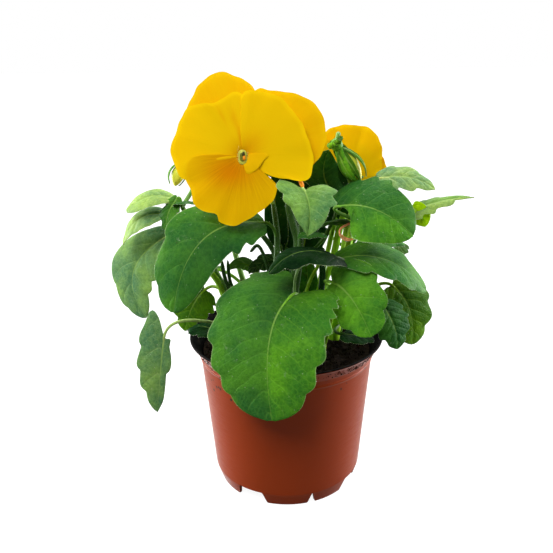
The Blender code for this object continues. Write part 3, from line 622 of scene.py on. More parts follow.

# A leaf: where its stalk leaves the stem, then the base, middle and tip of its midrib, its width and
# its roll in degrees. Teeth are a number, or the places of the notches on either margin. Heart is how
# far the lobes reach back, start and widest and point form the outline, and a pair of tints or sides
# gives the colours or the widths of the two halves. Two different tints are painted light and shade:
# one half lighter and one darker, where light falls unevenly on the leaf.
Leaf = namedtuple("Leaf", "root base middle tip width roll teeth heart start widest point fold droop "
                          "side tint wave sides",
                  defaults=(0, 4, 0.06, 0.4, 0.36, 0.75, 0.05, 0.15, None, GREEN, 0.5, (1, 1)))
Stem = namedtuple("Stem", "path radius tint")
SHOOTS = {
    "shoot_left": dict(
        stem=[(-20, -6, STEM_FOOT_Z), (-20, -6, 80), (-26, -6, 98), (-37, -5, 121), (-47, -2, 142),
              (-54, 1, 156)],
        leaves=[
            Leaf((-53, 1, 154), (-57, 4, 157), (-70, 4, 159), (-82.5, 2, 151.5), 21, -14, 0, heart=0,
                 start=0.2, widest=0.65, point=0.45, tint=BRIGHT_SHEEN_GREEN, wave=0.2),
            Leaf((-51, 0, 150), (-62, 2, 150), (-77, 2, 147), (-85.5, 0, 134), 20, -18, 0, heart=0,
                 start=0.25, tint=BRIGHT_SHEEN_GREEN, wave=0.3),
            Leaf((-46, -2, 140), (-61, 6, 138), (-82, 4, 118), (-76, -1, 93), 30, -35,
                 ((0.55, 0.8), (0.66, 0.86)), heart=0, start=0.2, widest=0.5, point=0.55, tint=SHEEN_GREEN,
                 wave=0.3, sides=(1, 1.12)),
            Leaf((-31, -6, 108), (-44, 4, 107), (-51, 2, 98), (-55, -3, 86), 24, -50, tint=OLIVE),
            Leaf((-44, -3, 135), (-42, -4, 156), (-50, -5, 158), (-57, -4, 156), 18, 10, tint=DARK),
            Leaf((-53, 0, 153), (-55, -2, 159), (-60, -5, 151), (-60, -8, 143), 14, 0, 3, tint=GREEN),
        ],
        extra=[
            Stem([(-41, -8, 124), (-39.7, -8, 122.4), (-35.3, -8, 115.8), (-32.5, -8, 107.9),
                  (-24, -8, 82)], 1.5, BRIGHT_STALK),
        ]),
    "shoot_front_left": dict(
        stem=[(-8, -14, STEM_FOOT_Z), (-8, -14, 80), (-6, -14, 110), (-4, -14, 140), (-6, -13, 160)],
        leaves=[
            Leaf((-4, -14, 140), (-10, -18, 150), (-39, -34, 146), (-53, -46, 114), 43, -35,
                 ((0.03, 0.19, 0.36), (0.3, 0.62, 0.88)), heart=0, start=0.25, point=0.45,
                 tint=(DARK, GREEN), wave=0.3, sides=(0.78, 1.0)),
        ],
        stalk=SHADED_STALK,
        extra=[
            Stem([(-18, -6, 150), (-12, -6, 141), (-5.5, -6, 130), (-1, -6, 110), (-2, -8, 80)], 1.3,
                 SHADED_STALK),
            Stem([(-18.5, 0, 129.5), (-14.5, 0, 133), (-11, 0, 126.5), (-8, 0, 112), (-6, -4, 80)], 0.9,
                 SHADED_STALK),
            Stem([(-33, -8, 128), (-31, -8, 116), (-25, -8, 103), (-18, -8, 82)], 1.0, SHADED_STALK),
            Stem([(-30, -6, 127), (-29, -6, 115), (-24, -6, 103), (-16, -6, 82)], 0.9, SHADED_STALK),
        ]),
    "shoot_front": dict(
        stem=[(4, -20, STEM_FOOT_Z), (4, -20, 80), (4, -20, 105), (7, -20, 130), (8, -21, 155)],
        leaves=[
            Leaf((4, -20, 100), (2, -40, 119), (-8, -57, 103), (-7, -65, 67), 62, 0,
                 ((0.05, 0.14, 0.23, 0.4, 0.655, 0.84), (0.14, 0.4, 0.58, 0.75, 0.87)),
                 heart=(0.25, 0.36), start=0.55, widest=0.42, point=0.42, tint=(SUNNY, GREEN), wave=0.3,
                 sides=(0.9, 1.07)),
            Leaf((8, -21, 153), (9, -34, 169), (11, -46, 163), (10, -54, 153), 31, -12,
                 ((0.3, 0.5), (0.36, 0.58)), start=0.6, widest=0.2, point=1.0, fold=0.5, tint=PALE,
                 wave=0.3, sides=(0.84, 1.03)),
            Leaf((7, -20, 132), (18, -20, 144.5), (12, -24, 146), (6, -27, 144.5), 14, 0, 0, tint=DARK),
            Leaf((10, 4, 110), (9, 10, 124), (11, 12, 140), (9, 13, 155), 26, side=(1, 0, 0), tint=SHADE),
            Leaf((2, 2, 90), (0, 8, 128), (1.5, 8, 141), (-1, 8, 154), 13, side=(1, 0, 0), tint=SHADE),
            Leaf((8, 0, 80), (12, 2, 108), (12, 1, 117), (11, 0, 126), 8, 0, 0, side=(1, 0, 0),
                 tint=OLIVE),
            Leaf((16, 4, 130), (22, 4, 160), (6, 3, 168), (-13, 2, 176), 22, side=(0.3, 0, 1),
                 tint=SHADE),
            Leaf((0, 0, 110), (-3, 3, 134), (-5, 3, 150), (-4, 3, 170), 12, 0, 0, side=(1, 0, 0),
                 tint=SHADE),
            Leaf((16, 2, 84), (12, 2, 106), (11.6, 1, 116), (11, 0, 127), 11, 0, 0, side=(1, 0, 0),
                 tint=BRIGHT),
            Leaf((6, 6, 84), (3, 6, 104), (2, 6, 116), (1, 6, 130), 9, 0, 0, side=(1, 0, 0), tint=SHADE),
        ],
        stalk=SHADED_STALK,
        extra=[
            Stem([(1, -16, 160), (4.4, -16, 146.6), (6, -16, 138), (4, -17, 115), (4, -19, 85)], 1.8,
                 SHADED_STALK),
            Stem([(12, -22, 134), (9.6, -24, 131.4), (6.7, -24, 128.3), (4.7, -24, 122), (4.5, -23, 112),
                  (4, -20, 95)], 0.7, PALE_STALK),
            Stem([(5, -8, 132), (3.9, -8, 126), (3.3, -8, 106), (3, -10, 80)], 1.7, SHADE),
            Stem([(19, 0, 130), (17, -2, 122), (13, -2, 114), (9, -3, 100), (6, -8, 82)], 0.9,
                 BRIGHT_STALK),
            Stem([(20, 2, 130), (19.4, 2, 123), (19.5, 2, 110), (16, 0, 82)], 1.6, SHADE),
        ]),
    "shoot_right": dict(
        stem=[(20, -8, STEM_FOOT_Z), (20, -8, 80), (26, -7, 105), (31, -6, 128), (35, -5, 150),
              (37, -3, 160)],
        leaves=[
            Leaf((35, -5, 148), (26, -15, 157), (43, -26, 158), (61, -30, 146), 43, 35,
                 ((0.24, 0.4, 0.55), ()), heart=(0.3, -0.3), start=0.3, point=0.55, tint=(GREEN, SUNNY),
                 wave=0.2, sides=(1.06, 0.9)),
            Leaf((31, -6, 125), (24, -20, 131), (49, -22, 132), (71, -20, 115), 31, 15,
                 ((0.5, 0.8), (0.35, 0.62, 0.85)), heart=0, start=0.2, widest=0.55, point=0.5, tint=GREEN,
                 wave=0.3, sides=(1.3, 1)),
            Leaf((27, -7, 110), (23, -28, 122), (32, -36, 116), (41, -42, 99), 34, 60,
                 ((0.5, 0.8), (0.35, 0.6, 0.85)), heart=(0.16, 0.06), start=0.55, point=0.5, tint=BRIGHT,
                 wave=0.2, sides=(1.04, 0.9)),
            Leaf((37, -3, 158), (48, -6, 169), (62, -6, 169.5), (75, -7, 163.5), 22, 25, 3, tint=BRIGHT_SHEEN_GREEN,
                 wave=0.2),
            Leaf((36, -4, 155), (63, -7, 152), (78, -9, 158), (94, -10, 160), 24, 15,
                 ((0.3, 0.5), (0.2, 0.4, 0.7)), start=0.9, widest=0.15, point=1.3, fold=0, droop=0.3,
                 tint=(PALE, BRIGHT_SHEEN_GREEN), wave=0.2, sides=(1, 0.62)),
            Leaf((58, -6, 154), (63.5, -10, 155), (67.5, -10.5, 151), (70.5, -10.5, 145), 10.5, 0, 0,
                 start=0.5, widest=0.5, side=(-1, 0, -0.6), tint=BACKLIT_LEMON, wave=0.1),
            Leaf((31, -6, 126), (26, -26, 134), (7, -38, 141), (-8, -43, 132), 28, -4,
                 ((0.5, 0.8), (0.3, 0.6, 0.82)), tint=DEEP_SHADE, wave=0.2, fold=0.1, droop=0.35,
                 sides=(0.9, 1)),
            Leaf((37, -3, 156), (25, 3, 160), (20, 3, 170), (22.5, 2, 182), 21, 0,
                 ((0.2, 0.36, 0.52, 0.68, 0.84), ()), heart=0.1, start=0.5, side=(0.95, 0.2, 0.25),
                 tint=DARK, wave=0.2),
            Leaf((34, 6, 150), (29, 5, 158), (27, 5, 165), (25, 5, 174), 18, 0, 0, side=(0.95, 0, 0.3),
                 tint=SHADE),
            Leaf((33, 4, 130), (36, -2, 144), (26, -3, 146.5), (15, -3, 142.5), 16, 25, 0,
                 tint=(DARK, SHADE)),
            Leaf((33, -6, 146), (28, -8, 141), (31, -9, 138.6), (35, -9, 139), 3.2, 20, 0,
                 tint=DRIED, wave=0.2),
            Leaf((31, 8, 130), (24, 10, 141), (30, 11, 150), (37, 12, 158), 20, side=(0.8, 0, -0.6),
                 tint=SHADE),
        ],
        stalk=BRIGHT_STALK,
        extra=[
            Stem([(37, 0, 152), (33.6, 0, 144), (31, 0, 124), (29, 0, 106), (26, -2, 80)], 2.8,
                 BRIGHT_STALK),
            Stem([(31, 4, 149), (28.4, 4, 140), (25, 4, 123), (20, 4, 106), (18, 0, 80)], 1.8,
                 BRIGHT_STALK),
            Stem([(27, 6, 146), (25, 6, 138.8), (21.5, 6, 122.3), (17.5, 6, 106), (15, 2, 80)], 1.3,
                 BRIGHT_STALK),
            Stem([(40, 6, 148), (36.5, 6, 138), (34.5, 6, 124), (31, 4, 106), (28, 2, 80)], 1.2,
                 BRIGHT_STALK),
        ]),
    "shoot_right_low": dict(
        stem=[(28, 4, STEM_FOOT_Z), (28, 4, 80), (36, 2, 96), (46, 0, 110)],
        leaves=[
            Leaf((45, 0, 108), (57, 0, 110), (66, -5, 98), (68, -8, 79), 34, 25, point=0.55, tint=OLIVE),
            Leaf((38, 2, 100), (50, -12, 104), (56, -18, 94), (58, -20, 82), 26, 10, tint=DARK),
            Leaf((32, 3, 88), (30, -20, 91), (38, -22, 91), (45, -20, 89), 20, 0, 3, tint=SHADE),
        ]),
    "shoot_left_low": dict(
        stem=[(-28, -10, STEM_FOOT_Z), (-28, -10, 80), (-33, -14, 95)],
        leaves=[
            Leaf((-33, -14, 94), (-64, -17, 88), (-66.5, -21, 70), (-69.5, -22, 47), 22, 0,
                 ((0.5,), (0.3, 0.55, 0.78)), heart=(0, 0.33), start=0.6, side=(-1, 0.15, 0), tint=SHEEN_GREEN,
                 wave=0.2, sides=(0.5, 1.3)),
            Leaf((-30, -11, 86), (-36, -18, 92), (-44, -13, 93), (-51, -8, 90), 22, 0, 3, tint=SHADE),
            Leaf((-20, 0, 88), (-16, 8, 116), (-23, 8, 121), (-31, 9, 117), 11, 60, 0, tint=OLIVE),
            Leaf((-12, 0, 88), (-3, 6, 122), (-12, 6, 122), (-20, 5, 116), 15, 60, 3, tint=SHADE),
        ]),
    "shoot_back_left": dict(
        stem=[(-16, 12, STEM_FOOT_Z), (-16, 12, 80), (-22, 18, 100), (-28, 24, 120), (-32, 27, 138)],
        leaves=[
            Leaf((-31, 27, 136), (-42, 34, 135), (-55, 42, 132), (-64, 48, 118), 30),
            Leaf((-28, 24, 122), (-30, 42, 128), (-30, 55, 126), (-32, 67, 112), 32, 0, 5),
            Leaf((-22, 18, 102), (-40, 24, 112), (-52, 30, 106), (-60, 34, 92), 28, tint=BRIGHT),
            Leaf((-18, 14, 90), (-23, 40, 94), (-25, 55, 90), (-27, 67, 76), 30, 0, 5, start=0.55,
                 tint=DARK),
        ]),
    "shoot_back": dict(
        stem=[(4, 16, STEM_FOOT_Z), (4, 16, 80), (4, 22, 104), (6, 25, 126), (10, 22, 142)],
        leaves=[
            Leaf((9, 23, 138), (-6, 34, 156), (-16, 43, 158), (-28, 50, 147), 28),
            Leaf((7, 25, 130), (6, 40, 139), (7, 52, 137), (9, 63, 123), 26, tint=BRIGHT),
            Leaf((4, 18, 90), (4, 34, 98), (4, 47, 94), (2, 60, 80), 28, start=0.55, tint=DARK),
        ]),
    "shoot_back_right": dict(
        stem=[(20, 14, STEM_FOOT_Z), (20, 14, 80), (28, 18, 98), (34, 20, 112), (37, 21, 122)],
        leaves=[
            Leaf((37, 21, 121), (46, 26, 125), (60, 36, 126), (71, 44, 114), 30),
            Leaf((32, 19, 108), (38, 34, 114), (46, 46, 112), (54, 56, 98), 32, 0, 5),
            Leaf((24, 16, 90), (28, 34, 95), (33, 46, 92), (38, 57, 78), 30, start=0.55, tint=BRIGHT),
        ]),
}


def spline(points, steps):
    """Points on a Catmull-Rom curve through the given ones."""
    knots = np.asarray(points, float)
    knots = np.concatenate([[2 * knots[0] - knots[1]], knots, [2 * knots[-1] - knots[-2]]])
    t = np.linspace(0, 1, steps, endpoint=False)[None, :, None]
    a, b, c, d = (knots[i:len(knots) - 3 + i, None] for i in range(4))
    path = 0.5 * (2 * b + (c - a) * t + (2 * a - 5 * b + 4 * c - d) * t ** 2
                  + (3 * b - a - 3 * c + d) * t ** 3)
    return np.concatenate([path.reshape(-1, knots.shape[1]), knots[-2:-1]])


def smooth_step(low, high, value):
    """0 below low, 1 above high, and an even S between them."""
    x = np.clip((value - low) / (high - low), 0, 1)
    return x * x * (3 - 2 * x)


def unit(vectors):
    """Vectors of the same direction and of length 1."""
    return vectors / np.maximum(np.linalg.norm(vectors, axis=-1, keepdims=True), 1e-9)


class Build:
    """Points, faces and point values gathered from the parts of one piece."""

    def __init__(self):
        self.points, self.faces, self.slots, self.values = [], [], [], {}
        self.count = 0

    def add(self, points, blocks, slot=0, **values):
        """Adds a part: its points, its blocks of faces, its material slot and its points' values."""
        points = np.asarray(points, float).reshape(-1, 3)
        self.points.append(points)
        for block in blocks:
            self.faces.append(block + self.count)
            self.slots.append(np.full(len(block), slot, np.int32))
        for key, value in values.items():
            rows = np.broadcast_to(np.asarray(value, float), (len(points), 3))
            self.values.setdefault(key, []).append((self.count, rows))
        self.count += len(points)

    def piece(self, name, materials):
        """Makes the piece, with each kind of value as an attribute of its points."""
        obj = linked_mesh(name, np.concatenate(self.points), self.faces, materials, smooth_to=60)
        obj.data.polygons.foreach_set("material_index", np.concatenate(self.slots))
        for key, parts in self.values.items():
            table = np.zeros((self.count, 3), np.float32)
            for start, rows in parts:
                table[start:start + len(rows)] = rows
            layer = obj.data.attributes.new(key, "FLOAT_VECTOR", "POINT")
            layer.data.foreach_set("vector", table.ravel())
        return obj


def tube(path, radius, ribs=0.0, flat=1.0, sides=TUBE_SIDES):
    """A closed tube along a path of points: r * (1 + ribs * cos(5 a)), flattened upwards by flat.
    The radius is one for all, one a point, or one for each point and side. The ring is carried along
    the path without twisting."""
    path = np.asarray(path, float)
    radius = np.asarray(radius, float)
    radius = radius if radius.ndim == 2 else np.broadcast_to(radius, len(path))[:, None]
    ahead = unit(np.gradient(path, axis=0))
    side = np.zeros_like(path)
    turn = np.cross(ahead[0], (0, 0, 1.0) if abs(ahead[0, 2]) < 0.9 else (1.0, 0, 0))
    for i, way in enumerate(ahead):
        turn = unit(turn - way * (turn @ way))
        side[i] = turn
    up = np.cross(side, ahead)
    angle = np.arange(sides) * math.tau / sides
    r = radius * (1 + ribs * np.cos(5 * angle))[None, :]
    across, above = (r * np.cos(angle))[..., None], (flat * r * np.sin(angle))[..., None]
    ring = path[:, None] + side[:, None] * across + up[:, None] * above
    points = np.concatenate([ring.reshape(-1, 3), path[:1], path[-1:]])
    end = len(path) * sides
    return points, [grid_faces(len(path), sides, flip=True), fan_faces(0, sides, end, flip=True),
                    fan_faces(end - sides, sides, end + 1)]


def arc(a, b, c, steps):
    """Points on a quadratic curve from a to c that bends towards b."""
    a, b, c = (np.array(point, float) for point in (a, b, c))
    t = np.linspace(0, 1, steps)[:, None]
    return (1 - t) ** 2 * a + 2 * t * (1 - t) * b + t ** 2 * c


def closed_sheet(middle, front, thick):
    """A thin closed sheet about a grid of points: two skins, half of thick to either side, that share
    their points along the first and last column and are joined by walls at the first and last row.
    Also gives a function that lays a grid of values on its points, the back's by themselves if wanted."""
    rows, columns = middle.shape[:2]
    normal = unit(np.cross(np.gradient(middle, axis=1), np.gradient(middle, axis=0)))
    normal = np.where((normal * front).sum(-1, keepdims=True) < 0, -normal, normal)
    half = (thick / 2)[..., None]
    inside = slice(1, columns - 1)
    skin = np.arange(rows * columns).reshape(rows, columns)
    back = skin.copy()
    back[:, inside] = rows * columns + np.arange(rows * (columns - 2)).reshape(rows, -1)
    points = np.concatenate([(middle + normal * half).reshape(-1, 3),
                             (middle - normal * half)[:, inside].reshape(-1, 3)])
    blocks = []
    for grid, order in ((skin, 1), (back, -1)):
        blocks.append(quads_of(grid)[:, ::order])
    for row, order in ((0, -1), (rows - 1, 1)):
        one, two = skin[row], back[row]
        blocks.append(np.stack([one[1:-2], one[2:-1], two[2:-1], two[1:-2]], -1)[:, ::order])
        blocks.append(np.array([(one[0], one[1], two[1]), (one[-2], one[-1], two[-2])])[:, ::order])

    def pick(grid, behind=None):
        under = grid[:, inside] if behind is None else np.full((rows, columns - 2), behind)
        return np.concatenate([grid.ravel(), under.ravel()])

    return points, blocks, pick


def notches(leaf, side):
    """Places of the notches along one margin: the leaf's own, or as many as it has teeth at uneven
    steps."""
    if not isinstance(leaf.teeth, int):
        return leaf.teeth[side]
    rng = np.random.default_rng(int(abs(leaf.tip[0]) * 7 + abs(leaf.tip[2]) * 3) + side)
    uneven = rng.uniform(-0.22, 0.22, max(leaf.teeth - 1, 0))
    return (np.arange(1, leaf.teeth) + uneven) / max(leaf.teeth, 1)


def half_width(leaf, s, t):
    """Half the blade's width at s: a quarter ellipse out to the widest place, then (1 - x^2) ** point,
    less the notches between rounded teeth that lean towards the tip."""
    low = leaf.start + (1 - leaf.start) * np.sqrt(np.clip(1 - (1 - s / leaf.widest) ** 2, 0, 1))
    high = np.clip(1 - np.clip((s - leaf.widest) / (1 - leaf.widest), 0, 1) ** 2, 0, 1) ** leaf.point
    half = leaf.width / 2 * np.where(s < leaf.widest, low, high)
    half = half * np.where(t < 0, leaf.sides[0], leaf.sides[1])
    cut_in = np.zeros_like(half)
    for side, here in ((0, t < 0), (1, t >= 0)):
        places = notches(leaf, side)
        if len(places):
            x = np.interp(s, [0, *places, 1], np.arange(len(places) + 2)) % 1.0
            cut_in = np.where(here, 1 - np.sin(math.pi * x ** SKEW) ** 0.6, cut_in)
    depth = NOTCH * min(1, 0.3 + leaf.width / 60)
    half = half - depth * cut_in * np.minimum(1, np.minimum(8 * s, 5 * (1 - s)))
    return np.maximum(half, 0.02)


def midrib(leaf, s):
    """Point and direction of the midrib at s, on a curve through base, middle and tip."""
    base, middle, tip = (np.array(p, float) for p in (leaf.base, leaf.middle, leaf.tip))
    bend = 2 * middle - (base + tip) / 2
    s = np.asarray(s)[..., None]
    point = (1 - s) ** 2 * base + 2 * s * (1 - s) * bend + s ** 2 * tip
    return point, unit((1 - s) * (bend - base) + s * (tip - bend))


def blade_point(leaf, s, t):
    """Point of the blade at s along the midrib and t across it, from -1 to 1. The blade folds up
    with |t|, droops with t^2, and its two lobes at the base reach back beside the stalk."""
    point, along = midrib(leaf, s)
    chord = np.array(leaf.tip, float) - np.array(leaf.base, float)
    side = np.array(leaf.side, float) if leaf.side else np.cross(chord, (0, 0, 1.0))
    side = Matrix.Rotation(math.radians(leaf.roll), 3, Vector(chord)) @ Vector(side)
    side = unit(np.array(side) - along * (along @ np.array(side))[..., None])
    up = np.cross(side, along)
    half = half_width(leaf, s, t)
    reach = np.abs(t)
    lobes = leaf.heart if isinstance(leaf.heart, tuple) else (leaf.heart, leaf.heart)
    back = np.where(t < 0, *lobes) * np.linalg.norm(chord) * (1 - s) ** 3 * reach * (2 - reach)
    lift = half * (leaf.fold * reach - leaf.droop * reach ** 2)
    flat = point + side * (t * half)[..., None] + up * lift[..., None] - along * back[..., None]
    return flat, up, half


def vein_count(leaf):
    """How many side veins a leaf has on each side: two more than its teeth or notches."""
    return (leaf.teeth if isinstance(leaf.teeth, int) else len(leaf.teeth[0])) + 2


def vein_phase(leaf, s, t):
    """A count of side veins: whole at each vein, which leaves the midrib and bends on towards the tip."""
    return vein_count(leaf) * (s - 0.42 * np.abs(t) ** 1.15 * (1 - 0.55 * s)) + 0.3 + 0.2 * np.sign(t)


def both_tints(leaf):
    """The colours of the blade's two halves."""
    return leaf.tint if isinstance(leaf.tint[0], tuple) else (leaf.tint, leaf.tint)


def add_blade(build, leaf, seed, rows=LEAF_ROWS, columns=LEAF_COLUMNS):
    """Adds a blade: two skins that meet at the margin, with sunk veins, puffed fields between them
    and a slow wave along the margin. Gives the middle of the two skins."""
    s = np.linspace(0, 0.999, rows)
    t = np.linspace(-1, 1, columns)
    t = np.sign(t) * np.abs(t) ** 0.85
    s, t = np.meshgrid(s, t, indexing="ij")
    reach = np.abs(t)
    flat, up, half = blade_point(leaf, s, t)
    length = np.linalg.norm(np.array(leaf.tip, float) - np.array(leaf.base, float))
    phase = vein_phase(leaf, s, t)
    spacing = length / vein_count(leaf)
    from_vein = np.abs(phase - np.round(phase)) * spacing
    from_rib = reach * half
    inner = np.clip(1 - reach ** 4, 0, 1)
    sunk = VEIN_SINK * np.exp(-(from_vein / GROOVE) ** 2) * inner
    sunk = sunk + RIB_SINK * np.exp(-(from_rib / GROOVE) ** 2)
    puff = PUFF * (1 - np.exp(-(np.minimum(from_vein, from_rib) / 2.2) ** 2)) * inner
    wave = np.sin(math.tau * (2.4 * s + 0.37 * seed) + 1.3 * np.sign(t))
    wave = wave + 0.5 * np.sin(math.tau * 5 * s + seed)
    ends = np.minimum(1, 4 * s) * np.minimum(1, 6 * (1.05 - s))
    wave = leaf.wave * reach ** 2 * wave * ends * min(1, leaf.width / 30)
    middle = flat + up * (puff - sunk + wave)[..., None]
    points, blocks, pick = closed_sheet(middle, up, BLADE * np.sqrt(np.clip(1 - reach ** 6, 0, 1)))
    # The halves' two tints blend across the midrib, then painted shade darkens the blade towards its base,
    # less for the greens with painted sheen or glow.
    part = smooth_step(-0.15, 0.15, t)
    dim = PALE_DIM if leaf.tint in PALE_TINTS else DIM
    depth = 1 - dim * np.exp(-((s + 0.5 * reach) / 0.42) ** 2)
    shade = np.stack([pick((a + (b - a) * part) * depth) for a, b in zip(*both_tints(leaf))], -1)
    shown = np.ones_like(t)
    build.add(points, blocks, 0, tint=shade, blade=np.stack([pick(t), pick(s), pick(phase)], -1),
              measure=np.stack([pick(from_rib), pick(shown * spacing), pick(shown, 0.0)], -1))
    return middle


def add_stalk(build, leaf):
    """Adds the leaf stalk, which bends out of the stem into the base, and the rib under the blade. It
    is paler and yellower than the blade."""
    root, base = np.array(leaf.root, float), np.array(leaf.base, float)
    _, along = midrib(leaf, 0.0)
    path = arc(root, base - along * np.linalg.norm(base - root) * 0.45, base, STALK_STEPS)
    s = np.linspace(0.03, 0.9, 26)
    rib, _ = midrib(leaf, s)
    _, up, _ = blade_point(leaf, s, np.zeros_like(s))
    rib = rib - up * np.interp(s, [0, 0.15, 1], [0.3, 0.75, 0.35])[:, None]
    radius = np.concatenate([np.linspace(PETIOLE_R, PETIOLE_TOP_R, STALK_STEPS),
                             np.interp(s, [0, 0.2, 1], [0.75, 0.55, 0.15])])
    scale = min(1, 0.55 + leaf.width / 60)
    tint = np.array(both_tints(leaf)[0]) * STALK_LIFT + STALK_WARM
    build.add(*tube(np.concatenate([path, rib]), radius * scale, ribs=0.06), 1, tint=tint)


def add_hairs(build, roots, outward, length, seed, thick=HAIR_R, spread=0.35, slot=HAIR_SLOT):
    """Adds short hairs that stand outward, each a thin closed three-sided spike."""
    rng = np.random.default_rng(seed)
    n = len(roots)
    out = unit(outward + rng.normal(0, spread, (n, 3)))
    side = unit(np.cross(out, rng.normal(0, 1, (n, 3))))
    other = np.cross(out, side)
    tip = roots + out * length * rng.uniform(0.5, 1.2, n)[:, None]
    angle = np.arange(3) * math.tau / 3
    ring = [roots - out * 0.1 + thick * (math.cos(a) * side + math.sin(a) * other) for a in angle]
    spike = np.array([(0, 2, 1), (0, 1, 3), (1, 2, 3), (2, 0, 3)])
    faces = (spike[None] + 4 * np.arange(n)[:, None, None]).reshape(-1, 3)
    build.add(np.stack([*ring, tip], 1), [faces], slot)


def hairy_tube(build, path, radius, tint, hairs, seed, ribs=0.08):
    """Adds a ribbed stem with hairs that stand out from it."""
    path = np.asarray(path, float)
    build.add(*tube(path, radius, ribs=ribs), 1, tint=tint)
    rng = np.random.default_rng(seed)
    at = rng.uniform(1, len(path) - 1.01, hairs)
    low = at.astype(int)
    centre = path[low] + (path[low + 1] - path[low]) * (at - low)[:, None]
    ahead = unit(path[low + 1] - path[low])
    out = rng.normal(0, 1, (hairs, 3))
    out = unit(out - ahead * (out * ahead).sum(-1, keepdims=True))
    thick = np.broadcast_to(radius, len(path))[low]
    add_hairs(build, centre + out * (thick * 0.97)[:, None], out, STEM_HAIR, seed + 1)


def new_group(name, gives, takes=()):
    """A node group with its wiring, and named sockets, of which Colour is a colour."""
    group = bpy.data.node_groups.new(name, "ShaderNodeTree")
    for way, names in (("INPUT", takes), ("OUTPUT", gives)):
        for socket in names:
            kind = "NodeSocketColor" if socket == "Colour" else "NodeSocketFloat"
            group.interface.new_socket(socket, in_out=way, socket_type=kind)
    return group, Wiring(group)


def grain_look():
    """A node group: fine noise that makes a colour a little lighter and darker, with its height."""
    group, wiring = new_group("fine_grain", ("Colour", "Height"), ("Colour",))
    colour = wiring.place("NodeGroupInput").outputs["Colour"]
    grain = wiring.noise(wiring.where(), 1500.0)
    tone = wiring.ramp(grain, 0.3, 0.7, 0.75, 1.2)
    wiring.place("NodeGroupOutput", {"Colour": wiring.shaded(colour, tone), "Height": grain})
    return group


FINE_GRAIN = grain_look()


def grainy_material(name, colour, roughness):
    """Soft plant skin of one colour with a fine grain."""
    material, wiring = new_material(name)
    look = wiring.place("Group", {"Colour": (*colour, 1)}, node_tree=FINE_GRAIN)
    wiring.surface({"Base Color": look.outputs["Colour"], "Roughness": roughness, "Specular IOR Level": 0.15,
                    "Normal": wiring.bump(look.outputs["Height"], 0.3, 0.0001)})
    return material


